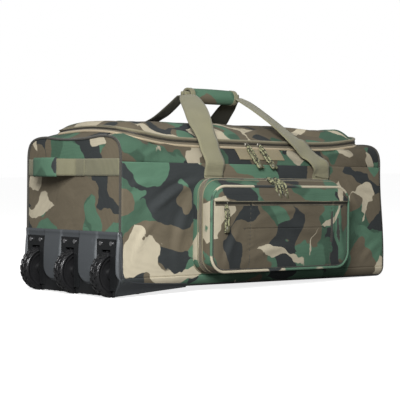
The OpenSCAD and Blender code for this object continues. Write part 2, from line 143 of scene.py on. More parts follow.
def add_light(name, place, target, size, power):
    data = bpy.data.lights.new(name, "AREA")
    data.shape = "RECTANGLE"
    data.size, data.size_y = size
    data.energy = power
    light = bpy.data.objects.new(name, data)
    bpy.context.scene.collection.objects.link(light)
    place = Vector(place)
    direction = Vector(target) - place
    light.location = place
    light.rotation_euler = direction.to_track_quat("-Z", "Y").to_euler()


def direct(tree, bounced, seen, socket):
    """Give a socket one value for what the camera sees and another for bounced light."""
    mix = tree.nodes.new("ShaderNodeMix")
    mix.data_type = "RGBA" if isinstance(seen, tuple) else "FLOAT"
    a, b, out = (6, 7, 2) if mix.data_type == "RGBA" else (2, 3, 0)
    mix.inputs[a].default_value = bounced
    mix.inputs[b].default_value = seen
    path = tree.nodes.new("ShaderNodeLightPath")
    tree.links.new(path.outputs["Is Camera Ray"], mix.inputs["Factor"])
    tree.links.new(mix.outputs[out], socket)


def add_stage():
    """Pale floor, soft studio light and a white surround."""
    bpy.ops.mesh.primitive_plane_add(size=60, location=(0, 0, 0))
    floor = bpy.context.object
    floor.name = "studio_floor"
    material = bpy.data.materials.new("studio_floor")
    material.use_nodes = True
    shader = material.node_tree.nodes["Principled BSDF"]
    shader.inputs["Roughness"].default_value = 0.95
    shader.inputs["Specular IOR Level"].default_value = 0.1
    shader.inputs["Emission Color"].default_value = (1, 1, 1, 1)
    direct(material.node_tree, (0.22, 0.22, 0.22, 1), (0.86, 0.86, 0.86, 1), shader.inputs["Base Color"])
    direct(material.node_tree, 0.0, FLOOR_GLOW, shader.inputs["Emission Strength"])
    floor.data.materials.append(material)
    world = bpy.data.worlds.new("studio")
    world.use_nodes = True
    sky = world.node_tree.nodes["Background"]
    sky.inputs["Color"].default_value = (1, 1, 1, 1)
    direct(world.node_tree, SKY, 1.0, sky.inputs["Strength"])
    bpy.context.scene.world = world
    bpy.context.scene.view_settings.view_transform = "Standard"
    add_light("key", (-1.75, -1.75, 1.10), (-0.2, 0, 0.2), (0.8, 0.8), 78)
    add_light("top", (0.2, -0.3, 2.6), (0, 0, 0.2), (2.0, 1.4), 9)


# ---------------------------------------------------------------- materials

class Shade:
    """A material under construction: a principled shader and short ways to add nodes."""

    def __init__(self, name, rough=0.7, metal=0.0, sheen=0.0, coat=0.0, specular=0.5):
        self.material = bpy.data.materials.new(name)
        self.material.use_nodes = True
        self.tree = self.material.node_tree
        self.shader = self.tree.nodes["Principled BSDF"]
        self.shader.inputs["Roughness"].default_value = rough
        self.shader.inputs["Metallic"].default_value = metal
        self.shader.inputs["Sheen Weight"].default_value = sheen
        self.shader.inputs["Sheen Roughness"].default_value = 0.5
        self.shader.inputs["Coat Weight"].default_value = coat
        self.shader.inputs["Specular IOR Level"].default_value = specular
        coordinates = self.tree.nodes.new("ShaderNodeTexCoord")
        self.place = coordinates.outputs["Object"]
        self.bump_from = None

    def link(self, value, socket):
        if isinstance(value, bpy.types.NodeSocket):
            self.tree.links.new(value, socket)
        else:
            socket.default_value = value

    def moved(self, shift=(0, 0, 0), scale=(1, 1, 1), source=None):
        node = self.tree.nodes.new("ShaderNodeMapping")
        self.link(source or self.place, node.inputs["Vector"])
        node.inputs["Location"].default_value = shift
        node.inputs["Scale"].default_value = scale
        return node.outputs["Vector"]

    def noise(self, scale, detail=2.0, rough=0.5, at=None, colour=False):
        node = self.tree.nodes.new("ShaderNodeTexNoise")
        self.link(at or self.place, node.inputs["Vector"])
        node.inputs["Scale"].default_value = scale
        node.inputs["Detail"].default_value = detail
        node.inputs["Roughness"].default_value = rough
        return node.outputs["Color" if colour else "Fac"]

    def wave(self, scale, axis="X"):
        node = self.tree.nodes.new("ShaderNodeTexWave")
        node.bands_direction = axis
        self.link(self.place, node.inputs["Vector"])
        node.inputs["Scale"].default_value = scale
        return node.outputs["Fac"]

    def math(self, operation, a, b=0.0, c=0.0):
        node = self.tree.nodes.new("ShaderNodeMath")
        node.operation = operation
        for value, socket in zip((a, b, c), node.inputs):
            self.link(value, socket)
        return node.outputs[0]

    def vector(self, operation, a, b):
        node = self.tree.nodes.new("ShaderNodeVectorMath")
        node.operation = operation
        self.link(a, node.inputs[0])
        self.link(b, node.inputs[3 if operation == "SCALE" else 1])
        return node.outputs[0]

    def steps(self, value, low, high):
        """0 below low, 1 above high, smooth between."""
        node = self.tree.nodes.new("ShaderNodeMapRange")
        node.interpolation_type = "SMOOTHSTEP"
        self.link(value, node.inputs["Value"])
        node.inputs["From Min"].default_value = low
        node.inputs["From Max"].default_value = high
        return node.outputs["Result"]

    def mix(self, share, a, b):
        node = self.tree.nodes.new("ShaderNodeMix")
        node.data_type = "RGBA"
        self.link(share, node.inputs["Factor"])
        for value, socket in ((a, node.inputs[6]), (b, node.inputs[7])):
            if isinstance(value, tuple) and len(value) == 3:
                value = (*value, 1)
            self.link(value, socket)
        return node.outputs[2]

    def attribute(self, name):
        node = self.tree.nodes.new("ShaderNodeAttribute")
        node.attribute_name = name
        return node.outputs["Fac"]

    def scaled(self, colour, share):
        """A colour times a number that varies over the surface."""
        return self.vector("SCALE", colour, share)

    def add_bump(self, height, strength, distance):
        node = self.tree.nodes.new("ShaderNodeBump")
        node.inputs["Strength"].default_value = strength
        node.inputs["Distance"].default_value = distance
        self.link(height, node.inputs["Height"])
        if self.bump_from:
            self.link(self.bump_from, node.inputs["Normal"])
        self.bump_from = node.outputs["Normal"]
        self.link(self.bump_from, self.shader.inputs["Normal"])

    def colour(self, value):
        if isinstance(value, tuple) and len(value) == 3:
            value = (*value, 1)
        self.link(value, self.shader.inputs["Base Color"])

    def roughness(self, value):
        self.link(value, self.shader.inputs["Roughness"])


def weave(shade, pitch):
    """Height of a plain weave of that pitch, about 0 to 1, on faces that look any way."""
    scale = 0.5 / pitch / 3.14159 * math.pi
    waves = [shade.wave(scale, axis) for axis in "XYZ"]
    total = shade.math("ADD", shade.math("ADD", waves[0], waves[1]), waves[2])
    return shade.math("MULTIPLY", total, 0.33)


SAND = (0.52, 0.465, 0.345)
GREEN = (0.090, 0.180, 0.118)
DEEP_GREEN = (0.060, 0.118, 0.078)
BROWN = (0.140, 0.117, 0.080)
NAVY = (0.036, 0.041, 0.042)


def ribbons(s, at, scale, shift, cover, width):
    """Branching strokes: where one noise crosses its middle, thinned out by another."""
    line = s.math("ABSOLUTE", s.math("SUBTRACT", s.noise(scale, 1.0, at=s.moved(shift, source=at)), 0.5))
    spread = s.steps(s.noise(scale * 1.2, 0.5, at=s.moved(shift[::-1], source=at)), cover, cover + 0.12)
    return s.steps(s.math("SUBTRACT", s.math("MULTIPLY", spread, width), line), 0.0, 0.004)


def scattered_print(s, shift, brown=0.488, sand=0.48):
    """Colour of the woodland print, all of it from noise; brown and sand thin out as they rise."""
    base = s.moved(shift, (1.55, 1.55, 1.55))
    warp = s.vector("SUBTRACT", s.noise(7.0, 2.0, at=base, colour=True), (0.5, 0.5, 0.5))
    fine = s.vector("SUBTRACT", s.noise(38.0, 1.5, at=base, colour=True), (0.5, 0.5, 0.5))
    at = s.vector("ADD", base, s.vector("SCALE", warp, 0.11))
    at = s.vector("ADD", at, s.vector("SCALE", fine, 0.014))
    depth = s.noise(6.5, 1.0, at=s.moved((3.1, 0, 0), source=at))
    colour = s.mix(s.steps(depth, 0.52, 0.55), GREEN, DEEP_GREEN)
    patches = s.noise(5.4, 1.2, 0.45, at=s.moved((7.7, 2.3, 1.1), source=at))
    colour = s.mix(s.steps(patches, brown, brown + 0.007), colour, BROWN)
    colour = s.mix(ribbons(s, at, 4.6, (1.7, 9.2, 4.4), 0.46, 0.066), colour, NAVY)
    return s.mix(ribbons(s, at, 4.2, (2.9, 4.1, 6.3), sand, 0.062), colour, SAND)


def camo(name, shift, brown=0.488, sand=0.48, fade_and_shade=0.88):
    """Woodland print on a plain-weave polyester; the tone factor scales its colour: near 0.88 a printed fade,
    lower on the shoulder and the pocket painted shade.
    """
    s = Shade(name, rough=0.76, sheen=0.03, specular=0.22)
    colour = scattered_print(s, shift, brown, sand)
    # thread height, faded print with painted shade from the tone factor, and a little dust
    cloth = weave(s, 0.0011)
    fade = s.math("ADD", fade_and_shade, s.math("MULTIPLY", s.noise(14.0, 3.0), 0.24))
    thread = s.math("ADD", 0.92, s.math("MULTIPLY", cloth, 0.16))
    s.colour(s.scaled(colour, s.math("MULTIPLY", fade, thread)))
    s.roughness(s.math("ADD", 0.64, s.math("MULTIPLY", s.noise(9.0, 2.0), 0.2)))
    s.add_bump(cloth, 0.35, 0.0004)
    s.add_bump(s.noise(22.0, 3.0), 0.45, 0.0042)
    return s.material


def webbing(name, tint):
    """Ribbed webbing: a fine weave of thread ribs, unevenly faded."""
    s = Shade(name, rough=0.68, sheen=0.2, specular=0.4)
    cloth = weave(s, 0.0014)
    fade = s.math("ADD", 0.86, s.math("MULTIPLY", s.noise(30.0, 3.0), 0.26))
    thread = s.math("ADD", 0.88, s.math("MULTIPLY", cloth, 0.24))
    s.colour(s.scaled((*tint,), s.math("MULTIPLY", fade, thread)))
    s.add_bump(cloth, 0.6, 0.0006)
    s.add_bump(s.noise(60.0, 2.0), 0.25, 0.0010)
    return s.material


def plastic(name, tint, rough, grain=0.00025, coat=0.0, ground=None):
    """Moulded plastic with a fine grain, scuffs and slightly uneven gloss.

    With a ground colour, the surface outside the panels marked as bays takes that colour.
    """
    s = Shade(name, rough=rough, coat=coat, specular=0.5)
    scuff = s.steps(s.noise(40.0, 5.0, 0.7), 0.55, 0.75)
    colour = s.mix(s.steps(s.attribute("bay"), -0.0004, 0.0006), tint, ground) if ground else (*tint,)
    s.colour(s.scaled(colour, s.math("ADD", 0.92, s.math("MULTIPLY", scuff, 0.35))))
    s.roughness(s.math("ADD", rough - 0.04, s.math("MULTIPLY", s.noise(18.0, 4.0), 0.14)))
    s.add_bump(s.noise(900.0, 2.0), 0.35, grain)
    return s.material


def flecked_cord():
    """Braided cord of light and dark olive strands."""
    s = Shade("cord", rough=0.6, sheen=0.1, specular=0.35)
    braid = s.noise(260.0, 1.0)
    s.colour(s.mix(s.steps(braid, 0.44, 0.56), (0.030, 0.031, 0.019), (0.270, 0.270, 0.150)))
    s.add_bump(braid, 0.6, 0.0010)
    return s.material


def mottled_piping():
    """Corded edge cut from the print, where it is mostly sand."""
    s = Shade("face_piping", rough=0.72, sheen=0.05, specular=0.3)
    colour = s.mix(s.steps(s.noise(6.5, 1.0), 0.53, 0.55), SAND, GREEN)
    colour = s.mix(s.steps(s.noise(8.5, 1.0, at=s.moved((3.3, 1.2, 5.1))), 0.60, 0.62), colour, NAVY)
    cloth = weave(s, 0.0011)
    s.colour(s.scaled(colour, s.math("ADD", 0.85, s.math("MULTIPLY", cloth, 0.3))))
    s.add_bump(cloth, 0.4, 0.0005)
    return s.material


def metal(name, tint, rough):
    s = Shade(name, rough=rough, metal=1.0)
    s.colour(s.scaled((*tint,), s.math("ADD", 0.85, s.math("MULTIPLY", s.noise(120.0, 4.0), 0.3))))
    s.roughness(s.math("ADD", rough, s.math("MULTIPLY", s.noise(60.0, 3.0), 0.15)))
    s.add_bump(s.noise(400.0, 2.0), 0.15, 0.0002)
    return s.material


def zip_tape_material():
    """Dark woven tape with a fine twill."""
    s = Shade("zip_tape", rough=0.8, sheen=0.2)
    cloth = weave(s, 0.0009)
    s.colour(s.scaled((0.150, 0.126, 0.082), s.math("ADD", 0.8, s.math("MULTIPLY", cloth, 0.4))))
    s.add_bump(cloth, 0.5, 0.0004)
    return s.material


def make_materials():
    return {
        "camo_front": camo("camo_front", (0.35, 0.0, 0.10), brown=0.465, sand=0.46),
        # lower tone: painted shade on the shoulder
        "camo_shoulder": camo("camo_shoulder", (2.15, 0.4, 0.85), brown=0.475, fade_and_shade=0.58),
        "camo_end": camo("camo_end", (5.2, 1.32, 0.2)),
        "camo_lid": camo("camo_lid", (1.4, 7.3, 2.1), brown=0.475, sand=0.46),
        # lower tone: painted shade on the pocket
        "camo_pocket": camo("camo_pocket", (3.05, 2.2, 4.40), brown=0.48, sand=0.54, fade_and_shade=0.70),
        "camo_loose": camo("camo_loose", (4.45, 2.9, 3.3)),
        "camo_gusset": camo("camo_gusset", (6.6, 3.9, 1.5), brown=0.475, sand=0.54, fade_and_shade=0.78),
        "camo_grip": camo("camo_grip", (0.8, 5.5, 3.6), brown=0.60, sand=0.56),
        "webbing": webbing("webbing", (0.235, 0.222, 0.135)),
        # a darker copy of the webbing for the wheel end's band and loop: painted shade, as the end gets less
        # light than the front
        "webbing_end_painted_shade": webbing("webbing_end_painted_shade", (0.182, 0.174, 0.106)),
        # a darker copy of the webbing for the back handle and its anchors: painted shade, as that side gets
        # little light
        "webbing_painted_shade": webbing("webbing_painted_shade", (0.085, 0.082, 0.055)),
        "cord_dark": webbing("cord_dark", (0.050, 0.047, 0.038)),
        "base": webbing("base", (0.020, 0.021, 0.021)),
        "piping": webbing("piping", (0.44, 0.36, 0.235)),
        "piping_green": webbing("piping_green", (0.225, 0.20, 0.125)),
        "zip_tape": zip_tape_material(),
        "teeth": plastic("teeth", (0.03, 0.028, 0.022), 0.45),
        "patch": webbing("patch", (0.245, 0.205, 0.118)),
        "housing": plastic("housing", (0.036, 0.040, 0.043), 0.48),
        "housing_face": plastic("housing_face", (0.082, 0.090, 0.097), 0.44,
                                ground=(0.012, 0.013, 0.014)),
        "bracket": plastic("bracket", (0.012, 0.013, 0.014), 0.38),
        "hub": plastic("hub", (0.014, 0.014, 0.015), 0.3),
        "tyre": plastic("tyre", (0.012, 0.012, 0.013), 0.26, grain=0.0004, coat=0.3),
        "board": plastic("board", (0.02, 0.02, 0.02), 0.6),
        "steel": metal("steel", (0.72, 0.72, 0.73), 0.22),
        "slider": metal("slider", (0.35, 0.33, 0.28), 0.38),
        "cord": flecked_cord(),
        "face_piping": mottled_piping(),
        "tip": plastic("tip", (0.10, 0.095, 0.055), 0.42),
        "lining": webbing("lining", (0.035, 0.035, 0.03)),
    }


# ---------------------------------------------------------------- mesh helpers

def finish_mesh(name, vertices, faces, material, smooth=True):
    """Object from points in the bag's frame."""
    mesh = bpy.data.meshes.new(name)
    mesh.from_pydata([tuple(v) for v in to_row(vertices)], [], faces)
    mesh.validate()
    mesh.update()
    materials = material if isinstance(material, list) else [material]
    for m in materials:
        mesh.materials.append(m)
    if smooth:
        mesh.polygons.foreach_set("use_smooth", [True] * len(mesh.polygons))
    obj = bpy.data.objects.new(name, mesh)
    bpy.context.scene.collection.objects.link(obj)
    return obj


def grid_faces(rows, columns, wrap_rows=False, wrap_columns=False):
    faces = []
    for i in range(rows if wrap_rows else rows - 1):
        for j in range(columns if wrap_columns else columns - 1):
            a, b = i, (i + 1) % rows
            c, d = j, (j + 1) % columns
            faces.append((a * columns + c, b * columns + c, b * columns + d, a * columns + d))
    return faces


def grid(name, points, material, thickness=0.0, wrap_columns=False):
    """Surface from an array of points, rows by columns, thickened inwards."""
    points = np.asarray(points, float)
    rows, columns = points.shape[:2]
    faces = grid_faces(rows, columns, wrap_columns=wrap_columns)
    obj = finish_mesh(name, points.reshape(-1, 3), faces, material)
    if thickness:
        thicken(obj, thickness)
    return obj


def apply_modifiers(obj):
    bpy.context.view_layer.update()
    depsgraph = bpy.context.evaluated_depsgraph_get()
    mesh = bpy.data.meshes.new_from_object(obj.evaluated_get(depsgraph))
    old = obj.data
    obj.modifiers.clear()
    obj.data = mesh
    mesh.name = old.name
    bpy.data.meshes.remove(old)
    return obj


def thicken(obj, thickness):
    solid = obj.modifiers.new("thickness", "SOLIDIFY")
    solid.thickness = thickness
    solid.offset = -1
    solid.use_even_offset = False
    return apply_modifiers(obj)


def smooth_line(points, count):
    """Catmull-Rom curve through given points, as count points evenly spread."""
    p = np.asarray(points, float)
    p = np.vstack([2 * p[0] - p[1], p, 2 * p[-1] - p[-2]])
    out = []
    for i in range(1, len(p) - 2):
        for t in np.linspace(0, 1, 24, endpoint=False):
            a, b, c, d = p[i - 1], p[i], p[i + 1], p[i + 2]
            out.append(0.5 * (2 * b + (c - a) * t + (2 * a - 5 * b + 4 * c - d) * t ** 2
                              + (3 * b - a - 3 * c + d) * t ** 3))
    out.append(p[-2])
    out = np.array(out)
    length = np.concatenate([[0], np.cumsum(np.linalg.norm(np.diff(out[:, :3], axis=0), axis=1))])
    want = np.linspace(0, length[-1], count)
    return np.stack([np.interp(want, length, out[:, k]) for k in range(out.shape[1])], 1)


def tube(name, line, radius, material, sides=10, closed=False):
    """Round tube along a line of points; radius may vary along it."""
    line = np.asarray(line, float)
    count = len(line)
    if closed:
        tangent = np.roll(line, -1, 0) - np.roll(line, 1, 0)
    else:
        tangent = np.gradient(line, axis=0)
    tangent /= np.linalg.norm(tangent, axis=1)[:, None]
    radius = np.broadcast_to(np.asarray(radius, float), (count,))
    normal = np.zeros_like(line)
    start = np.array([0, 0, 1.0]) if abs(tangent[0][2]) < 0.9 else np.array([0, 1.0, 0])
    n = start - tangent[0] * start.dot(tangent[0])
    for i in range(count):
        n = n - tangent[i] * n.dot(tangent[i])
        n /= np.linalg.norm(n)
        normal[i] = n
    side = np.cross(tangent, normal)
    angle = np.linspace(0, 2 * math.pi, sides, endpoint=False)
    ring = (line[:, None] + radius[:, None, None] * (np.cos(angle)[None, :, None] * normal[:, None]
            + np.sin(angle)[None, :, None] * side[:, None]))
    vertices = ring.reshape(-1, 3)
    faces = grid_faces(count, sides, wrap_rows=closed, wrap_columns=True)
    if not closed:
        faces.append(tuple(range(sides)))
        faces.append(tuple((count - 1) * sides + k for k in reversed(range(sides))))
    return finish_mesh(name, vertices, faces, material)


def weld(obj):
    """Merge points that lie on each other, to close a seam."""
    work = bmesh.new()
    work.from_mesh(obj.data)
    bmesh.ops.remove_doubles(work, verts=work.verts, dist=0.00002)
    bmesh.ops.recalc_face_normals(work, faces=work.faces)
    work.to_mesh(obj.data)
    work.free()
    return obj


def fix_normals(obj):
    work = bmesh.new()
    work.from_mesh(obj.data)
    bmesh.ops.recalc_face_normals(work, faces=work.faces)
    work.to_mesh(obj.data)
    work.free()
    return obj


def join(name, objects):
    """Several meshes as one piece, keeping each one's material."""
    work = bmesh.new()
    materials = []
    for obj in objects:
        start = len(work.faces)
        work.from_mesh(obj.data)
        work.faces.ensure_lookup_table()
        own = []
        for m in obj.data.materials:
            if m not in materials:
                materials.append(m)
            own.append(materials.index(m))
        for face in work.faces[start:]:
            face.material_index = own[min(face.material_index, len(own) - 1)]
    mesh = bpy.data.meshes.new(name)
    work.to_mesh(mesh)
    work.free()
    for m in materials:
        mesh.materials.append(m)
    for obj in objects:
        bpy.data.objects.remove(obj)
    result = bpy.data.objects.new(name, mesh)
    bpy.context.scene.collection.objects.link(result)
    return result


def rolling(x, y, z, scale, seed=0.0):
    """Smooth noise from -1 to 1 at a point."""
    return noise.noise(Vector((x * scale + seed, y * scale - seed, z * scale + 2 * seed)))


def bell(distance, width):
    return math.exp(-(distance / width) ** 2)


def outline(half_x, half_z, radius, steps=10, per_side=24):
    """Closed rounded rectangle as 2-D points and outward normals, evenly walked."""
    points, normals = [], []
    corners = [(1, -1, -90), (1, 1, 0), (-1, 1, 90), (-1, -1, 180)]
    for sx, sz, start in corners:
        for k in range(steps + 1):
            a = math.radians(start + 90 * k / steps)
            normals.append((math.cos(a), math.sin(a)))
            points.append((sx * (half_x - radius) + radius * math.cos(a),
                           sz * (half_z - radius) + radius * math.sin(a)))
        nx, nz = normals[-1]
        following = {(1, -1): (1, 1), (1, 1): (-1, 1), (-1, 1): (-1, -1), (-1, -1): (1, -1)}[(sx, sz)]
        end = (following[0] * (half_x - radius) + radius * nx,
               following[1] * (half_z - radius) + radius * nz)
        here = points[-1]
        for k in range(1, per_side):
            t = k / per_side
            points.append((here[0] + (end[0] - here[0]) * t, here[1] + (end[1] - here[1]) * t))
            normals.append((nx, nz))
    return np.array(points), np.array(normals)


# ---------------------------------------------------------------- shape of the top

SIDE_BULGE = 0.006
END_BULGE = 0.005
CORE = np.array((0.0, 0.0, 0.15))
POCKET_CORE = np.array((0.01, -0.19, 0.125))


def rim_height(x, y):
    """Height of the zip line: level in the middle, rising to the ends, most at the wheels."""
    x, y = np.asarray(x, float), np.asarray(y, float)
    far = np.abs(x) / LID_HALF_L
    side = np.where(x < 0, 0.0130 * far ** 5, 0.0115 * far ** 3.5)
    rise = np.where(x < 0, 0.014, 0.006) * ramp(np.abs(x), 0.285, LID_HALF_L)
    return 0.3005 + side + rise * (1 - (y / LID_HALF_W) ** 2)


def end_top(y):
    """Height of an end panel's top edge, sagging between its corners."""
    return 0.3155 - 0.0095 * (1 - np.clip(np.abs(y) / 0.120, 0, 1) ** 2)


def opening_edge(x):
    """Half width of the lid opening at x, and the narrow part's width past its ends."""
    past = np.clip((np.abs(x) - (LID_HALF_L - LID_CORNER)) / LID_CORNER, 0, 1)
    return LID_HALF_W - LID_CORNER + LID_CORNER * math.sqrt(max(0.0, 1 - past * past))


def inner_height(x, y):
    """Height of the top surface at the lid opening's edge, and on the decks past its ends."""
    past = (abs(x) - LID_HALF_L) / (HALF_L - LID_HALF_L)
    if past <= 0:
        return float(rim_height(x, y))
    at_rim = float(rim_height(math.copysign(LID_HALF_L, x), y))
    return at_rim + (float(end_top(y)) - at_rim) * (past + 0.12 * math.sin(math.pi * past))


def shoulder_curve(x, s):
    """Distance from the middle and height at share s of the way from the seam to the opening."""
    y_in = opening_edge(x)
    z_in = inner_height(x, y_in)
    straight = ((HALF_W + (y_in - HALF_W) * s + 0.0016 * math.sin(math.pi * s)),
                SEAM_Z + (z_in - SEAM_Z) * s + 0.0014 * math.sin(math.pi * s))
    ends = ((HALF_W, SEAM_Z), (HALF_W + 0.001, 0.302), (0.152, z_in + 0.001), (y_in, z_in))
    r = 1 - s
    share = (r ** 3, 3 * r * r * s, 3 * r * s * s, s ** 3)
    full = tuple(sum(k * p[i] for k, p in zip(share, ends)) for i in (0, 1))
    w = float(ramp(abs(x), 0.215, 0.37))
    return tuple((1 - w) * a + w * b for a, b in zip(straight, full))


def rim_plan(inset=0.0, whole=False):
    """Plan of the lid opening from the wheel end's back, along the front, to the far end's back.

    Returns points and outward normals. With whole=True it also runs back along the rear
    edge, as a closed loop.
    """
    half_x, half_y = LID_HALF_L - inset, LID_HALF_W - inset
    r = max(LID_CORNER - inset, 0.002)
    points, normals = [], []

    def run(a, b, normal, count):
        for t in np.linspace(0, 1, count, endpoint=False):
            points.append((a[0] + (b[0] - a[0]) * t, a[1] + (b[1] - a[1]) * t))
            normals.append(normal)

    def turn(cx, cy, start, count=14):
        for k in range(count):
            a = math.radians(start + 90 * k / count)
            points.append((cx + r * math.cos(a), cy + r * math.sin(a)))
            normals.append((math.cos(a), math.sin(a)))

    run((-half_x, half_y - r), (-half_x, -half_y + r), (-1, 0), 44)
    turn(-half_x + r, -half_y + r, 180)
    run((-half_x + r, -half_y), (half_x - r, -half_y), (0, -1), 150)
    turn(half_x - r, -half_y + r, 270)
    run((half_x, -half_y + r), (half_x, half_y - r), (1, 0), 44)
    if whole:
        turn(half_x - r, half_y - r, 0)
        run((half_x - r, half_y), (-half_x + r, half_y), (0, 1), 150)
        turn(-half_x + r, half_y - r, 90)
    else:
        points.append((half_x, half_y - r))
        normals.append((1, 0))
    return np.array(points), np.array(normals)


def slope_at(x, y, nx):
    """Angle below level at which the top falls away outside the opening."""
    a = shoulder_curve(max(-0.31, min(0.31, x)), 1.0)
    b = shoulder_curve(max(-0.31, min(0.31, x)), 0.93)
    side = math.atan2(a[1] - b[1], b[0] - a[0])
    end_x = math.copysign(LID_HALF_L, x)
    fall = float(rim_height(end_x, y)) - float(end_top(y))
    end = math.atan2(fall, HALF_L - LID_HALF_L) * 0.8
    w = abs(nx) ** 2
    return (1 - w) * side + w * end


def rim_frame(whole=False):
    """Rim points with, at each, the direction down the slope and the direction out of it."""
    plan, normals = rim_plan(whole=whole)
    rim = np.column_stack([plan, rim_height(plan[:, 0], plan[:, 1])])
    down, out = [], []
    for (x, y), (nx, ny) in zip(plan, normals):
        a = slope_at(x, y, nx)
        down.append((nx * math.cos(a), ny * math.cos(a), -math.sin(a)))
        out.append((nx * math.sin(a), ny * math.sin(a), math.cos(a)))
    down, out = np.array(down), np.array(out)
    return rim, smooth_rows(down, whole), smooth_rows(out, whole)


def smooth_rows(rows, closed, passes=6):
    """Neighbour average along a line, to round off sudden turns."""
    rows = rows.copy()
    for _ in range(passes):
        if closed:
            rows = (np.roll(rows, 1, 0) + 2 * rows + np.roll(rows, -1, 0)) / 4
        else:
            rows[1:-1] = (rows[:-2] + 2 * rows[1:-1] + rows[2:]) / 4
    return rows / np.linalg.norm(rows, axis=1)[:, None]


# ---------------------------------------------------------------- soft folds

FRONT_FOLDS = (  # x, z, angle in degrees, half length, half width, height
    (-0.290, 0.175, 34, 0.070, 0.010, 0.0022), (-0.250, 0.200, 28, 0.060, 0.008, 0.0020),
    (-0.325, 0.120, 52, 0.050, 0.010, 0.0018), (-0.235, 0.120, 72, 0.060, 0.012, 0.0020),
    (0.262, 0.190, 148, 0.060, 0.010, 0.0022), (0.315, 0.150, 128, 0.060, 0.010, 0.0020),
    (0.335, 0.210, 160, 0.040, 0.007, 0.0016), (0.280, 0.090, 60, 0.050, 0.012, 0.0018),
    (0.345, 0.060, 40, 0.040, 0.009, 0.0018), (-0.345, 0.215, 15, 0.040, 0.008, 0.0016))


def folds(x, z, strokes):
    """Height of long soft creases at a point of a panel."""
    total = 0.0
    for cx, cz, angle, long, wide, high in strokes:
        a = math.radians(angle)
        along = (x - cx) * math.cos(a) + (z - cz) * math.sin(a)
        across = -(x - cx) * math.sin(a) + (z - cz) * math.cos(a)
        across += 0.15 * along * along / long
        ridge = bell(across, wide) - 0.6 * bell(across - 1.6 * wide, wide)
        total += 2.2 * high * bell(along, long) * ridge
    return total


def crumple(x, y, z, seed=0.0):
    """Gentle unevenness of soft cloth."""
    return 0.0011 * rolling(x, y, z, 14, seed) + 0.0005 * rolling(x, y, z, 37, seed + 5)


def pucker(along, distance, seed=0.0):
    """Small gathers beside a sewn seam."""
    wave = math.sin(along * 2 * math.pi / 0.019 + 3 * rolling(along, 0, 0, 9, seed))
    return 0.0006 * wave * bell(distance, 0.012) * (0.5 + 0.5 * rolling(along, 1, 0, 6, seed))


# ---------------------------------------------------------------- body panels

def side_point(x, z, side):
    """Point of the front (-1) or back (+1) panel, puffed out between its seams."""
    u = np.clip((x + HALF_L) / (2 * HALF_L), 0, 1)
    v = np.clip((z - CORNER_R) / (SEAM_Z - CORNER_R), 0, 1)
    puff = SIDE_BULGE * math.sin(math.pi * u) ** 0.4 * math.sin(math.pi * min(1, v * 0.96 + 0.02)) ** 0.6
    edge = math.sin(math.pi * u) ** 0.3 * min(1.0, 6 * v * (1.02 - v))
    strokes = FRONT_FOLDS if side < 0 else [(-f[0], f[1], 180 - f[2], *f[3:]) for f in FRONT_FOLDS]
    soft = folds(x, z, strokes) + crumple(x, side * 3, z, 2.0) + crumple(x * 0.6, side, z * 2, 8.0)
    soft += pucker(x, SEAM_Z - z, side)
    return (x, side * (HALF_W + puff + edge * soft), z)


def seam_dip(s):
    """Groove where the shoulder is sewn to the side panel."""
    return -0.0012 * bell(s, 0.03)


def side_panel(name, side, material):
    xs = np.linspace(-HALF_L + 0.001, HALF_L - 0.001, 230)
    zs = np.linspace(CORNER_R, SEAM_Z, 84)
    rows = [[side_point(x, z, side) for x in xs] for z in zs]
    return grid(name, rows, material, thickness=CLOTH)


def shoulder_panel(name, side, material):
    """From the side seam to the lid opening, and on over the ends beside the decks."""
    xs = np.unique(np.concatenate([np.linspace(-HALF_L + 0.001, HALF_L - 0.001, 200),
                                   np.linspace(0.312, LID_HALF_L, 14),
                                   np.linspace(-LID_HALF_L, -0.312, 14)]))
    rows = []
    for x in xs:
        row = []
        for s in np.linspace(0, 1, 34):
            y, z = shoulder_curve(x, s)
            # follow the puffed side panel at the seam, then ease back to the rim
            lean_out = side_point(x, SEAM_Z, side)[1] * side - HALF_W
            y += lean_out * (1 - s) ** 2
            soft = crumple(x, side * 2, z, 4.0) * 0.9 + pucker(x, s * 0.05, side + 3)
            soft *= math.sin(math.pi * s) ** 0.5
            soft += seam_dip(s) + folds(x, z - 0.02, SHOULDER_FOLDS) * math.sin(math.pi * s)
            row.append((x, side * (y + soft * 0.7), z + soft * 0.7))
        rows.append(row)
    return grid(name, rows, material, thickness=CLOTH)


SHOULDER_FOLDS = (
    (-0.300, 0.262, 24, 0.060, 0.008, 0.0026), (-0.250, 0.275, 160, 0.050, 0.007, 0.0020),
    (0.290, 0.268, 152, 0.060, 0.008, 0.0024), (0.230, 0.262, 20, 0.050, 0.007, 0.0018),
    (-0.110, 0.262, 40, 0.040, 0.007, 0.0016), (0.110, 0.270, 150, 0.040, 0.007, 0.0016))


def deck(name, end, material):
    """Strip between the lid opening and an end panel."""
    half_y = LID_HALF_W - LID_CORNER
    rows = []
    for t in np.linspace(0, 1, 12):
        x = end * (LID_HALF_L + (HALF_L - 0.001 - LID_HALF_L) * t)
        row = []
        for y in np.linspace(-half_y, half_y, 60):
            z = inner_height(x, y) + crumple(x, y, 0.3, 6.0) * math.sin(math.pi * t)
            row.append((x, y, z))
        rows.append(row)
    return grid(name, rows, material, thickness=CLOTH)


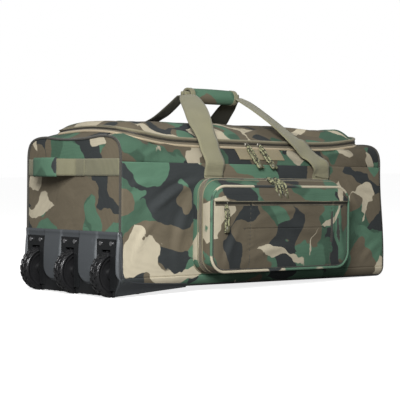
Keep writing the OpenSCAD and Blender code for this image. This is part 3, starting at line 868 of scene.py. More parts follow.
def end_outline(end, low):
    """Closed edge of an end panel, seen along X: y and z."""
    x = end * HALF_L
    half = []
    if low < CORNER_R:
        for k in range(9):
            a = math.radians(-90 + 90 * k / 8)
            half.append((HALF_W - CORNER_R + CORNER_R * math.cos(a), CORNER_R + CORNER_R * math.sin(a)))
    else:
        half.append((HALF_W, low))
    for z in np.linspace(half[-1][1], SEAM_Z, 26)[1:-1]:
        half.append((HALF_W, z))
    for s in np.linspace(0, 1, 24):
        half.append(shoulder_curve(x, s))
    edge_y = half[-1][0]
    for y in np.linspace(edge_y, 0, 18)[1:]:
        half.append((y, inner_height(x, y)))
    front = [(-y, z) for y, z in half]
    bottom_y = half[0][0]
    floor = [(y, half[0][1]) for y in np.linspace(bottom_y, -bottom_y, 24)[1:-1]]
    return np.array(front + half[-2::-1] + floor)


def end_puff(y, z, rho, end):
    return END_BULGE * (1 - rho ** 2.4) + crumple(end * 3, y, z, 9.0) * (1 - rho ** 6)


def end_panel(name, end, low, material):
    """End panel as rings from its edge to its middle, puffed outwards."""
    edge = end_outline(end, low)
    middle = np.array((0.0, 0.5 * (low + 0.31)))
    rows = []
    for rho in np.linspace(1, 0.015, 44):
        ring = middle + (edge - middle) * rho
        rows.append([(end * (HALF_L - 0.0005 + end_puff(y, z, rho, end)), y, z) for y, z in ring])
    rows.append([tuple(np.mean(rows[-1], axis=0))] * len(rows[-1]))
    obj = weld(grid(name, rows, material, wrap_columns=True))
    face_outwards(obj)
    return thicken(obj, CLOTH)


def end_surface_x(end, y, z, low):
    """Where the puffed end panel's surface is at y, z."""
    edge = end_outline(end, low)
    middle = np.array((0.0, 0.5 * (low + 0.31)))
    ray = np.array((y, z)) - middle
    angle = math.atan2(ray[1], ray[0])
    angles = np.arctan2(edge[:, 1] - middle[1], edge[:, 0] - middle[0])
    nearest = np.argmin(np.abs(np.angle(np.exp(1j * (angles - angle)))))
    rho = min(1.0, np.linalg.norm(ray) / np.linalg.norm(edge[nearest] - middle))
    return end * (HALF_L - 0.0005 + end_puff(y, z, rho, end))


def base_panel(cloth, under):
    """Bottom cloth: printed round its long edges, plain dark underneath, cut away at the wheels."""
    section = []
    for k in range(13):
        a = math.radians(180 + 90 * k / 12)
        section.append((-HALF_W + CORNER_R + CORNER_R * math.cos(a), CORNER_R + CORNER_R * math.sin(a)))
    section += [(y, 0.0) for y in np.linspace(-HALF_W + CORNER_R, HALF_W - CORNER_R, 50)[1:-1]]
    section += [(-y, z) for y, z in section[12::-1]]
    rows = []
    for x in np.linspace(-HALF_L + 0.003, HALF_L - 0.001, 130):
        rows.append([(x, y * (1 + 0.012 * ramp(z, 0.0, CORNER_R)),
                      z - 0.0005 * max(0, rolling(x, y, z, 11, 3.3)) * ramp(abs(y), 0.17, 0.10))
                     for y, z in section])
    obj = grid("base_cloth", rows, cloth)
    obj.data.materials.append(under)
    inverse = STANCE.inverted()
    for face in obj.data.polygons:
        face.material_index = int((inverse @ face.center).z < 0.0045)
    cut_away(obj, lambda c: c.x < -0.325 and abs(c.y) < 0.1505)
    return thicken(obj, CLOTH)


def cut_away(obj, doomed):
    """Delete the faces for which doomed, given their middle in the bag's frame, is true."""
    inverse = STANCE.inverted()
    work = bmesh.new()
    work.from_mesh(obj.data)
    faces = [f for f in work.faces if doomed(inverse @ f.calc_center_median())]
    bmesh.ops.delete(work, geom=faces, context="FACES")
    work.to_mesh(obj.data)
    work.free()


def face_outwards(obj, core=None):
    """Flip a surface whose normals look towards the bag's core."""
    core = Vector(to_row(CORE if core is None else core))
    mesh = obj.data
    total = 0.0
    for polygon in mesh.polygons:
        total += polygon.area * polygon.normal.dot(polygon.center - core)
    if total < 0:
        mesh.flip_normals()
    return obj


def end_piping(material):
    """Corded seams round both end panels; the wheel end's starts above the housing."""
    pieces = []
    for end, low in ((-1, HOUSING_TOP - 0.004), (1, 0.0)):
        edge = end_outline(end, low)
        count = len(edge)
        if end < 0:
            edge = edge[: count - 22]
        line = [(end * (HALF_L + 0.0005), y * 1.003, z + 0.0008) for y, z in edge]
        if end > 0:
            line = line + [line[0]]
        smooth = smooth_line(line, 320)
        if end > 0:
            smooth = smooth[:-1]
        pieces.append(tube(f"end_cord_{'wheel' if end < 0 else 'far'}", smooth, 0.0027, material,
                           sides=8, closed=end > 0))
    return join("end_cords", pieces)


# ---------------------------------------------------------------- lid and main zip

def band_frame(whole=False):
    """Foot of the zip band round the opening, with its upward and outward directions."""
    rim, down, out = rim_frame(whole=whole)
    _, normals = rim_plan(0, whole)
    level = smooth_rows(np.column_stack([normals, np.zeros(len(normals))]), whole)
    lean = np.where(level[:, 0] < 0, BAND_LEAN + 0.9 * level[:, 0] ** 2, BAND_LEAN)[:, None]
    up = np.array((0.0, 0.0, 1.0)) - level * lean
    up /= np.linalg.norm(up, axis=1)[:, None]
    facing = level + np.array((0.0, 0.0, 1.0)) * lean
    return rim + down * BAND_FOOT + out * 0.0006, up, facing / np.linalg.norm(facing, axis=1)[:, None]


def strip_along(name, path, up, out, low, high, lift, material, thickness, columns=4):
    """Ribbon beside the rim, from low to high metres up the band, lifted off it."""
    rows = [path + up * d + out * lift for d in np.linspace(low, high, columns)]
    return grid(name, np.array(rows), material, thickness=thickness)


BAND_FOOT = 0.0080  # how far down the slope the zip band starts
BAND_LEAN = 0.16
ZIP_UP = 0.0098  # height of the coil above the band's foot
LID_CORD_UP = 0.0160


def zip_teeth(path, out, down, offset, name, material):
    """One half of the coil: a row of small teeth along the rim."""
    line = path + down * offset + out * 0.0012
    step = np.linalg.norm(np.diff(line, axis=0), axis=1)
    length = np.concatenate([[0], np.cumsum(step)])
    want = np.arange(0.001, length[-1], 0.0030)
    at = lambda rows: np.stack([np.interp(want, length, rows[:, k]) for k in range(3)], 1)
    centres, outs, downs = at(line), at(out), at(down)
    along = np.cross(outs, downs)
    vertices, faces = [], []
    corners = [(-1, -1, -1), (1, -1, -1), (1, 1, -1), (-1, 1, -1),
               (-1, -1, 1), (1, -1, 1), (1, 1, 1), (-1, 1, 1)]
    quads = [(0, 3, 2, 1), (4, 5, 6, 7), (0, 1, 5, 4), (1, 2, 6, 5), (2, 3, 7, 6), (3, 0, 4, 7)]
    for c, o, d, a in zip(centres, outs, downs, along):
        base = len(vertices)
        for i, j, k in corners:
            vertices.append(c + a * 0.00095 * i + d * 0.0014 * j + o * 0.0007 * k)
        faces += [tuple(base + q for q in quad) for quad in quads]
    return finish_mesh(name, vertices, faces, material, smooth=False)


def lid_shell(material, lining):
    """Domed lid: up the band from the zip to the piping, then over the crown."""
    foot, up, level = band_frame(whole=True)
    back = ramp(foot[:, 1], LID_HALF_W - 0.020, LID_HALF_W)[:, None]
    foot = foot + back * np.array((0.0, -0.0120, 0.0030))
    loops = [foot + up * d - level * 0.0004 for d in (ZIP_UP + 0.0008, 0.0125, 0.0142, LID_CORD_UP)]
    start = loops[-1]
    for k, inset in enumerate(list(np.linspace(0.000, 0.128, 46)) + [0.1325]):
        plan, _ = rim_plan(inset, whole=True)
        rows = []
        for (x, y), first in zip(plan, start):
            z = dome_height(x, y, inset)
            settle = math.exp(-k / 2.2)
            z += (first[2] + 0.002 + 0.4 * inset - z) * settle
            z += crumple(x, y, 0.35, 12.0) * 1.8 * ramp(inset, 0.01, 0.04)
            z += folds(x, y, LID_FOLDS) * ramp(inset, 0.012, 0.03)
            rows.append((x, y, z))
        loops.append(np.array(rows))
    loops[-1][:, 1] = 0.0
    obj = grid("lid_cloth", np.array(loops), material, wrap_columns=True)
    weld(obj)
    face_outwards(obj)
    obj.data.materials.append(lining)
    solid = obj.modifiers.new("thickness", "SOLIDIFY")
    solid.thickness = 0.0024
    solid.offset = -1
    solid.material_offset = 1
    apply_modifiers(obj)
    return obj


LID_FOLDS = (
    (-0.250, -0.080, 25, 0.060, 0.010, 0.0030), (-0.120, -0.095, 160, 0.050, 0.009, 0.0024),
    (0.060, -0.090, 20, 0.060, 0.010, 0.0024), (0.220, -0.080, 155, 0.060, 0.010, 0.0030),
    (0.020, 0.060, 170, 0.080, 0.012, 0.0030), (-0.200, 0.050, 15, 0.070, 0.011, 0.0028))


def dome_height(x, y, inset):
    """Height of the crown, lower towards both ends and with steeper end walls."""
    edge = float(rim_height(x, y)) + 0.0070
    ends = float(ramp(abs(x), 0.20, 0.33))
    share = np.clip((inset + 0.004) / (0.125 - (0.075 if x > 0 else 0.050) * ends), 0, 1)
    crown = 0.0455 - (0.013 if x > 0 else 0.011) * float(ramp(abs(x), 0.14, 0.34))
    return edge + crown * (1 - (1 - share) ** 2.1)


def rim_parts(mats):
    """Zip halves and their piping, sewn along the opening's front and both ends."""
    foot, up, out = band_frame()
    made = {}
    made["body_tape"] = strip_along("body_tape", foot, up, out, 0.0004, ZIP_UP - 0.0006, 0.0004,
                                    mats["zip_tape"], 0.0008)
    made["lid_tape"] = strip_along("lid_tape", foot, up, out, ZIP_UP + 0.0006, LID_CORD_UP, 0.0006,
                                   mats["zip_tape"], 0.0008)
    made["body_cord"] = tube("body_cord", foot + out * 0.0012, 0.0028, mats["piping"],
                             sides=10)
    made["lid_cord"] = tube("lid_cord", foot + up * LID_CORD_UP + out * 0.0010, 0.0027,
                            mats["piping_green"], sides=10)
    made["body_teeth"] = zip_teeth(foot + up * ZIP_UP, out, -up, 0.0011, "body_teeth", mats["teeth"])
    made["lid_teeth"] = zip_teeth(foot + up * ZIP_UP, out, -up, -0.0011, "lid_teeth", mats["teeth"])
    return made


def back_hinge(material):
    """Cloth that joins the lid to the back shoulder."""
    foot, up, out = band_frame(whole=True)
    rear = foot[:, 1] > LID_HALF_W - 0.019
    order = np.argsort(foot[rear][:, 0])
    foot, up, out = foot[rear][order], up[rear][order], out[rear][order]
    back = ramp(foot[:, 1], LID_HALF_W - 0.020, LID_HALF_W)[:, None]
    lid_side = foot + up * (ZIP_UP + 0.004) + back * np.array((0.0, -0.0105, 0.0030))
    rows = [foot * (1 - t) + lid_side * t + up * 0.0030 * math.sin(math.pi * t)
            for t in np.linspace(0, 1, 16)]
    obj = grid("hinge_cloth", np.array(rows), material, thickness=0.0012)
    low, high = rows[0][:, 2].mean(), rows[-1][:, 2].mean()
    return obj, low, high


# ---------------------------------------------------------------- straps

def ribbon(name, centres, across, widths, material, thickness, columns=9):
    """Flat webbing: a line of centres, a width direction and a width at each.

    Its edges are rounded off by a fold of the section, so it reads as a thick woven band.
    """
    centres = np.asarray(centres, float)
    across = np.asarray(across, float)
    across /= np.linalg.norm(across, axis=1)[:, None]
    tangent = np.gradient(centres, axis=0)
    tangent /= np.linalg.norm(tangent, axis=1)[:, None]
    facing = np.cross(tangent, across)
    facing /= np.linalg.norm(facing, axis=1)[:, None]
    widths = np.broadcast_to(np.asarray(widths, float), (len(centres),))
    section = []
    half = thickness / 2
    for u in np.linspace(-1, 1, columns):
        section.append((u, half * (1 if abs(u) < 0.97 else 0.55)))
    for u in np.linspace(1, -1, columns):
        section.append((u, -half * (1 if abs(u) < 0.97 else 0.55)))
    rows = []
    for c, a, f, w in zip(centres, across, facing, widths):
        rows.append([c + a * u * w / 2 + f * h for u, h in section])
    rows = np.array(rows)
    count, around = rows.shape[:2]
    faces = grid_faces(count, around, wrap_columns=True)
    faces.append(tuple(range(around)))
    faces.append(tuple((count - 1) * around + k for k in reversed(range(around))))
    obj = finish_mesh(name, rows.reshape(-1, 3), faces, material)
    return fix_normals(obj)


FRONT_ROUTE = (  # height, distance from the middle and width, from the foot to the grip
    (0.2320, 0.1722, 0.054), (0.2415, 0.1730, 0.054), (0.2620, 0.1765, 0.054), (0.2880, 0.1610, 0.054),
    (0.3110, 0.1510, 0.054), (0.3440, 0.1240, 0.054), (0.3780, 0.0820, 0.053), (0.4050, 0.0340, 0.046),
    (0.4160, 0.0080, 0.030))
BACK_ROUTE = (
    (0.2320, 0.1722, 0.054), (0.2415, 0.1730, 0.054), (0.2680, 0.1765, 0.054), (0.3020, 0.1700, 0.054),
    (0.3330, 0.1540, 0.054), (0.3580, 0.1180, 0.053), (0.3720, 0.0800, 0.050), (0.3950, 0.0380, 0.044),
    (0.4160, 0.0080, 0.030))
LEG_DRAW = {  # by side (-1 front) and leg (0 wheel end): where it starts and ends drawing in to the grip
    (-1, 0): (0.55, 1.0), (-1, 1): (0.10, 0.85), (1, 0): (0.15, 0.65), (1, 1): (0.10, 1.0)}
LEG_TWISTS = {  # shares along each leg and degrees of twist there
    (-1, 0): ((0.0, 0), (0.35, -4), (0.55, -20), (1.0, -18)),
    (-1, 1): ((0.0, 0), (0.3, 10), (0.6, 12), (1.0, 2)),
    (1, 0): ((0.0, 0), (0.5, 8), (1.0, 10)), (1, 1): ((0.0, 0), (0.5, -8), (1.0, -12))}


def strap(name, side, leg, grip_x, material):
    """One leg of a carry handle, from its anchor on the panel to the end of the grip."""
    route = FRONT_ROUTE if side < 0 else BACK_ROUTE
    foot_x = STRAP_X[leg]
    line = []
    for k, (z, y, width) in enumerate(route):
        share = float(ramp(k / (len(route) - 1), *LEG_DRAW[side, leg]))
        line.append((foot_x + (grip_x - foot_x) * share, side * y, z, width))
    line = smooth_line(line, 90)
    centres = line[:, :3]
    tangent = np.gradient(centres, axis=0)
    tangent /= np.linalg.norm(tangent, axis=1)[:, None]
    turns = smooth_line(LEG_TWISTS[side, leg], 60)
    turned = np.interp(np.linspace(0, 1, len(line)), turns[:, 0], turns[:, 1])
    across = []
    for t, angle in zip(tangent, turned):
        level = np.array((1.0, 0.0, 0.0)) - t * t[0]
        level /= np.linalg.norm(level)
        a = math.radians(angle)
        across.append(level * math.cos(a) + np.cross(t, level) * math.sin(a))
    return ribbon(name, centres, across, line[:, 3], material, 0.0026)


def anchors(side, mats):
    """Webbing sewn up the panel, as the feet of a handle's two legs."""
    pieces = []
    for k, x in enumerate(STRAP_X):
        line = [side_point(x, z, side) for z in np.linspace(0.026, 0.2395, 50)]
        centres = [(px, py + side * 0.0016, pz) for px, py, pz in line]
        across = [(1, 0, 0)] * len(centres)
        # the back anchors take the darker webbing: painted shade
        cloth = mats["webbing" if side < 0 else "webbing_painted_shade"]
        pieces.append(ribbon(f"anchor_{k}", centres, across, WEBBING, cloth, 0.0024))
    return join("front_anchors" if side < 0 else "back_anchors", pieces)


def grip(mats):
    """Padded wrap round the straps, bound with webbing at its ends and open at its back."""
    length = GRIP_X[1] - GRIP_X[0]
    opening = math.radians(46)

    def sleeve(name, x0, x1, radius, wall, material, soft):
        rows = []
        for x in np.linspace(x0, x1, 60):
            t = (x - GRIP_X[0]) / length
            row = []
            for a in np.linspace(opening / 2, 2 * math.pi - opening / 2, 48):
                lumps = rolling(x * 3, math.cos(a), math.sin(a), 2.2, 1.5)
                swell = 1 + soft * (0.06 * math.sin(math.pi * t) + 0.05 * lumps)
                y, z = radius * swell * math.cos(a), radius * swell * math.sin(a)
                row.append((x, y, GRIP_Z + z))
            rows.append(row)
        obj = grid(name, rows, material)
        face_outwards(obj, core=(0, 0, GRIP_Z))
        return thicken(obj, wall)

    pieces = [sleeve("grip_cloth", GRIP_X[0] + 0.002, GRIP_X[1] - 0.002, 0.0165, 0.0035,
                     mats["camo_grip"], 1.0)]
    for k, x in enumerate(GRIP_X):
        inner = 0.011 if k == 0 else -0.011
        a, b = sorted((x, x + inner))
        pieces.append(sleeve(f"grip_binding_{k}", a, b, 0.0178, 0.0055, mats["webbing"], 0.3))
    return join("grip_sleeve", pieces)


def handle_core(side, mats):
    """The two straps' run inside the grip, lying flat against the other handle's."""
    line = [(x, side * 0.0050, GRIP_Z) for x in np.linspace(GRIP_X[0] - 0.012, GRIP_X[1] + 0.012, 40)]
    across = [(0, 0, 1)] * len(line)
    return ribbon("core_front" if side < 0 else "core_back", line, across, 0.018, mats["webbing"], 0.0060)


# ---------------------------------------------------------------- end handles

def band_line(end, z, low, y0, y1, count, lift):
    return [(end_surface_x(end, y, z, low) + end * lift, y, z) for y in np.linspace(y0, y1, count)]


def end_band(mats):
    """Flat webbing across the wheel end."""
    seam = HALF_W - 0.0025
    line = smooth_line(band_line(-1, END_BAND_Z, WHEEL_END_LOW, -seam, seam, 60, 0.0012), 90)
    across = [(0, 0, 1)] * len(line)
    # darker webbing: painted shade on the wheel end
    return ribbon("wheel_end_band", line, across, 0.036, mats["webbing_end_painted_shade"], 0.0022)


def grab_handle(mats):
    """Webbing loop standing off the wheel end."""
    middle, span, foot, reach = 0.044, 0.118, 0.037, 0.038
    z = END_BAND_Z
    base = lambda y: end_surface_x(-1, y, z, WHEEL_END_LOW) - 0.0035
    y0, y1 = middle - span / 2, middle + span / 2
    points = [(base(y0 - foot), y0 - foot), (base(y0 - 0.016), y0 - 0.016),
              (base(y0) - 0.001, y0 - 0.004),
              (base(y0) - 0.012, y0 + 0.004), (base(y0) - reach * 0.72, y0 + 0.012),
              (base(middle) - reach + 0.003, y0 + 0.028), (base(middle) - reach - 0.001, middle),
              (base(middle) - reach + 0.003, y1 - 0.028), (base(y1) - reach * 0.72, y1 - 0.012),
              (base(y1) - 0.012, y1 - 0.004), (base(y1) - 0.001, y1 + 0.004),
              (base(y1 + 0.016), y1 + 0.016), (base(y1 + foot), y1 + foot)]
    line = smooth_line([(x, y, z) for x, y in points], 150)
    across = [(0, 0, 1)] * len(line)
    # darker webbing: painted shade on the wheel end
    return ribbon("wheel_end_loop", line, across, 0.036, mats["webbing_end_painted_shade"], 0.0024), line


def grab_wrap(line, mats):
    """Camo sleeve round the middle of the loop."""
    part = line[47:103]
    across = [(0, 0, 1)] * len(part)
    return ribbon("loop_sleeve", part, across, 0.0405, mats["camo_grip"], 0.0072,
                  columns=13)


def far_handle(mats):
    z, span, foot, reach = 0.215, 0.130, 0.036, 0.038
    base = lambda y: end_surface_x(1, y, z, 0.0) + 0.0018
    y0, y1 = -span / 2, span / 2
    points = [(base(y0 - foot), y0 - foot), (base(y0 - 0.014), y0 - 0.014),
              (base(y0) + 0.001, y0 - 0.003),
              (base(y0) + 0.012, y0 + 0.004), (base(0) + reach * 0.75, y0 + 0.014),
              (base(0) + reach - 0.002, y0 + 0.032),
              (base(0) + reach, 0), (base(0) + reach - 0.002, y1 - 0.032),
              (base(0) + reach * 0.75, y1 - 0.014),
              (base(y1) + 0.012, y1 - 0.004), (base(y1) + 0.001, y1 + 0.003),
              (base(y1 + 0.014), y1 + 0.014), (base(y1 + foot), y1 + foot)]
    line = smooth_line([(x, y, z) for x, y in points], 150)
    return ribbon("far_end_loop", line, [(0, 0, 1)] * len(line), 0.038, mats["webbing"], 0.0030)


def patch(mats):
    """Blank cloth patch sewn on the front shoulder."""
    rows = []
    for x in np.linspace(-0.058, 0.078, 60):
        row = []
        for s in np.linspace(0.22, 0.86, 20):
            y, z = shoulder_curve(x, s)
            lean_out = side_point(x, SEAM_Z, -1)[1] * -1 - HALF_W
            y += lean_out * (1 - s) ** 2
            row.append((x, -(y + 0.0016), z + 0.0012))
        rows.append(row)
    obj = grid("shoulder_patch", rows, mats["patch"])
    face_outwards(obj)
    return thicken(obj, 0.0012)


# ---------------------------------------------------------------- pocket

def pocket_loop(y, inset=0.0, drop=0.0, shrink=0.0, swell=0.0):
    """Outline of the pocket at depth y, seen from the front, with room to swell."""
    half_x = (POCKET_X[1] - POCKET_X[0]) / 2 - shrink - inset
    low, high = POCKET_Z[0] + shrink + inset, POCKET_Z[1] - shrink - drop - inset
    r = max(POCKET_R - inset, 0.004)
    points, normals = outline(half_x, (high - low) / 2, r, steps=10, per_side=40)
    middle = np.array(((POCKET_X[0] + POCKET_X[1]) / 2, (low + high) / 2))
    rows = []
    for (px, pz), (nx, nz) in zip(points, normals):
        x, z = middle[0] + px + nx * swell, middle[1] + pz + min(nz, 0.1) * swell
        rows.append((x, y, z))
    return np.array(rows)


def gusset(mats):
    """Back part of the pocket, sewn to the panel, with the first band of cloth."""
    loops = []
    for t in np.linspace(0, 1, 14):
        y = -HALF_W - 0.0005 - t * 0.0285
        loops.append(pocket_loop(y, swell=0.0022 * math.sin(math.pi * t)))
    for row, t in zip(loops, np.linspace(0, 1, 14)):
        for k, (x, y, z) in enumerate(row):
            row[k][2] += 0.0010 * rolling(x, 1, z, 24, 5) * math.sin(math.pi * t)
            row[k][0] += 0.0010 * rolling(x, 2, z, 24, 9) * math.sin(math.pi * t)
    obj = grid("pocket_back_wall", np.array(loops), mats["camo_gusset"], wrap_columns=True)
    face_outwards(obj, core=(0.01, -0.18, 0.128))
    return thicken(obj, CLOTH)


def gusset_trim(mats):
    """Corded seam where the pocket meets the panel, and the two lines of its zip tape."""
    rear_line = pocket_loop(-HALF_W - 0.0022, swell=0.0022)
    rear = tube("pocket_rear_cord", rear_line, 0.0028, mats["piping_green"],
                closed=True)
    rows = [pocket_loop(POCKET_SPLIT + d, swell=0.0011) for d in np.linspace(0.0002, 0.0065, 4)]
    obj = grid("pocket_zip_half", np.array(rows), mats["zip_tape"], wrap_columns=True)
    face_outwards(obj, core=(0.01, -0.18, 0.128))
    thicken(obj, 0.0008)
    edge_line = pocket_loop(POCKET_SPLIT + 0.0072, swell=0.0012)
    edge = tube("pocket_tape_edge", edge_line, 0.0012, mats["piping_green"],
                closed=True, sides=6)
    tape = join("pocket_zip_band", [obj, edge])
    return rear, tape


FACE_SEAMS = (-0.093, 0.155)


def face_depth(x, z, inset):
    """How far the pocket's face stands out at x, z, and its seams and pleats."""
    puff = 0.0075 * (1 - math.exp(-max(0.0, inset) / 0.016))
    below = float(ramp(z, 0.184, 0.178))
    for seam_x in FACE_SEAMS:
        puff -= 0.0016 * bell(x - seam_x - 0.02 * (z - 0.1), 0.0022) * below
        puff += 0.0010 * bell(x - seam_x - 0.02 * (z - 0.1) - 0.006, 0.004) * below
    puff += 0.0016 * bell(z - 0.196, 0.014) * (1 - below)
    soft = 0.0016 * rolling(x, 0.2, z, 12, 21) + 0.0008 * rolling(x * 0.7, 0.2, z * 1.6, 34, 3)
    soft += folds(x, z, FACE_FOLDS)
    return puff + soft * (1 - math.exp(-max(0.0, inset) / 0.012))


FACE_FOLDS = (
    (-0.040, 0.075, 12, 0.060, 0.010, 0.0016), (0.060, 0.120, 165, 0.070, 0.012, 0.0016),
    (-0.150, 0.080, 70, 0.040, 0.009, 0.0016), (0.185, 0.110, 100, 0.050, 0.009, 0.0014),
    (0.020, 0.160, 4, 0.080, 0.008, 0.0012))


def front_shell(mats):
    """Opening front of the pocket: tapering walls and a puffed face."""
    loops = []
    for t in np.linspace(0, 1, 12):
        y = POCKET_SPLIT - 0.0006 - t * (POCKET_SPLIT - 0.0006 - POCKET_FACE)
        swell = 0.0020 * math.sin(math.pi * t)
        loops.append(pocket_loop(y, drop=0.014 * t, shrink=0.003 * t, swell=swell))
    for inset in list(np.linspace(0.0025, 0.0885, 44)):
        row = pocket_loop(POCKET_FACE, inset=inset, drop=0.014, shrink=0.003)
        for k, (x, y, z) in enumerate(row):
            row[k][1] = POCKET_FACE - face_depth(x, z, inset)
        loops.append(row)
    loops[-1][:, 2] = (POCKET_Z[0] + POCKET_Z[1] - 0.014) / 2
    obj = grid("pocket_front_cloth", np.array(loops), mats["camo_pocket"], wrap_columns=True)
    weld(obj)
    face_outwards(obj, core=POCKET_CORE)
    return thicken(obj, CLOTH)


def face_inset(x, z):
    """Distance from the face's edge, near enough for depth."""
    low, high = POCKET_Z[0] + 0.003, POCKET_Z[1] - 0.017
    return max(0.0, min(x - POCKET_X[0] - 0.003, POCKET_X[1] - 0.003 - x, z - low, high - z))


def face_point(x, z, lift=0.0):
    return (x, POCKET_FACE - face_depth(x, z, face_inset(x, z)) - lift, z)


def pleat_shade_lines(mats):
    """Two dark lines down the face from the zip, along its pleats: painted shade in the pleats' grooves, drawn as
    thin dark tubes.
    """
    pieces = []
    for k, x in enumerate(FACE_SEAMS):
        line = [face_point(x + 0.02 * (z - 0.1), z, 0.0002) for z in np.linspace(0.174, 0.036, 60)]
        pieces.append(tube(f"seam_{k}", line, 0.0009, mats["cord_dark"], sides=6))
    return join("pleat_shade_lines", pieces)


def rain_flap(mats):
    """Lip of cloth over the face zip."""
    rows = []
    for x in np.linspace(POCKET_X[0] + 0.007, POCKET_X[1] - 0.007, 150):
        row = []
        for t in np.linspace(0, 1, 9):
            z = 0.192 - 0.0125 * t + 0.0008 * rolling(x, 0, 0, 20, 2)
            row.append(face_point(x, z, 0.0008 + 0.0030 * t ** 1.5))
        rows.append(row)
    obj = grid("rain_lip", rows, mats["camo_pocket"])
    face_outwards(obj, core=POCKET_CORE)
    thicken(obj, 0.0016)
    edge = tube("rain_edge", [face_point(x, 0.1795 + 0.0008 * rolling(x, 0, 0, 20, 2), 0.0030)
                              for x in np.linspace(POCKET_X[0] + 0.007, POCKET_X[1] - 0.007, 150)],
                0.0010, mats["piping_green"], sides=6)
    return join("rain_flap", [obj, edge])


def face_zip(mats):
    """Tape and coil of the zip across the face, under its lip."""
    xs = np.linspace(POCKET_X[0] + 0.010, POCKET_X[1] - 0.010, 140)
    rows = [[face_point(x, z, 0.0006) for x in xs] for z in (0.1700, 0.1730, 0.1760, 0.1790, 0.1820)]
    tape = grid("face_tape_cloth", rows, mats["zip_tape"])
    face_outwards(tape, core=POCKET_CORE)
    thicken(tape, 0.0008)
    line = np.array([face_point(x, 0.1760, 0.0006) for x in xs])
    out = np.tile((0.0, -1.0, 0.0), (len(line), 1))
    down = np.tile((0.0, 0.0, -1.0), (len(line), 1))
    teeth = [zip_teeth(line, out, down, d, f"face_teeth_{k}", mats["teeth"])
             for k, d in enumerate((0.0012, -0.0012))]
    return join("face_zip_line", [tape] + teeth)


def front_trim(mats):
    """Corded seam round the face, and the tape at the back edge of the opening half."""
    ring = pocket_loop(POCKET_FACE, drop=0.014, shrink=0.003, swell=0.0012)
    ring[:, 1] -= 0.0006
    cord = tube("pocket_face_cord", ring, 0.0030, mats["face_piping"], closed=True)
    groove = pocket_loop(POCKET_FACE - 0.0012, inset=0.0036, drop=0.014, shrink=0.003)
    seam = tube("pocket_face_groove", groove, 0.0011, mats["cord_dark"], closed=True, sides=6)
    cord = join("pocket_face_edge", [cord, seam])
    rows = [pocket_loop(POCKET_SPLIT - d, drop=0.014 * d / 0.032, shrink=0.003 * d / 0.032, swell=0.0012)
            for d in np.linspace(0.0008, 0.0070, 4)]
    tape = grid("pocket_zip_front_half", np.array(rows), mats["zip_tape"], wrap_columns=True)
    face_outwards(tape, core=POCKET_CORE)
    thicken(tape, 0.0008)
    edge_line = pocket_loop(POCKET_SPLIT - 0.0076, drop=0.0033, shrink=0.0007, swell=0.0014)
    edge = tube("pocket_front_tape_edge", edge_line,
                0.0012, mats["piping_green"], closed=True, sides=6)
    return cord, join("pocket_front_tape", [tape, edge])


# ---------------------------------------------------------------- wheels and housing

def box_mesh(name, low, high, material, bevel=0.0, segments=2):
    work = bmesh.new()
    bmesh.ops.create_cube(work, size=1)
    for v in work.verts:
        v.co = Vector([(low[k] + high[k]) / 2 + v.co[k] * (high[k] - low[k]) for k in range(3)])
    if bevel:
        bmesh.ops.bevel(work, geom=list(work.edges), offset=bevel, segments=segments, affect="EDGES",
                        profile=0.5)
    for v in work.verts:
        v.co = STANCE @ v.co
    mesh = bpy.data.meshes.new(name)
    work.to_mesh(mesh)
    work.free()
    mesh.materials.append(material)
    mesh.polygons.foreach_set("use_smooth", [bool(bevel)] * len(mesh.polygons))
    obj = bpy.data.objects.new(name, mesh)
    bpy.context.scene.collection.objects.link(obj)
    return obj


FOOT_LOW = -0.016
TAIL_X = -0.208


def undercut(z):
    """How far the housing's sides draw in towards its underside."""
    return 0.0155 * float(ramp(-z, -0.020, 0.016))


def housing_lip(side, mats):
    """Wall of the housing that wraps a bottom edge of the bag, sweeping down to its tail."""
    y_out = side * (HALF_W + 0.0035)
    crest = smooth_line([(-0.3890, 0, HOUSING_TOP), (-0.3885, 0, 0.100), (-0.3880, 0, 0.072), (-0.3865, 0, 0.046),
                         (-0.3830, 0, 0.029), (-0.3730, 0, 0.0185), (-0.3500, 0, 0.0125), (-0.3000, 0, 0.0080),
                         (-0.2450, 0, 0.0050), (TAIL_X - 0.004, 0, 0.0030), (TAIL_X, 0, -0.0010)], 120)
    rows = []
    for x, _, top in crest:
        t = np.clip((x + 0.393) / (TAIL_X + 0.393), 0, 1)
        bottom = FOOT_LOW + (0.0135) * t ** 1.1
        row = []
        for u in np.linspace(0, 1, 14):
            z = bottom + (max(top, bottom + 0.002) - bottom) * u
            flare = 0.0012 * bell(u - 1, 0.08) - 0.0008 * bell(u - 0.5, 0.3)
            row.append((x, y_out + side * (flare - undercut(z)), z))
        rows.append(row)
    rows = [[(-0.3925, p[1], p[2]) for p in rows[0]]] + rows
    obj = grid(f"lip_{'front' if side < 0 else 'back'}", rows, mats["housing"])
    face_outwards(obj)
    return thicken(obj, 0.0030)


BAY_Y = (-0.0635, 0.0635, -0.192, 0.192)
BAY_HALF = 0.0335


def bay_edge(y, z):
    """Signed distance below the round lower edge of the nearest panel between brackets."""
    across = min(abs(y - middle) for middle in BAY_Y)
    if z > 0.036:
        return across - BAY_HALF
    drop = (z - 0.036) * BAY_HALF / 0.030
    return math.hypot(across, drop) - BAY_HALF


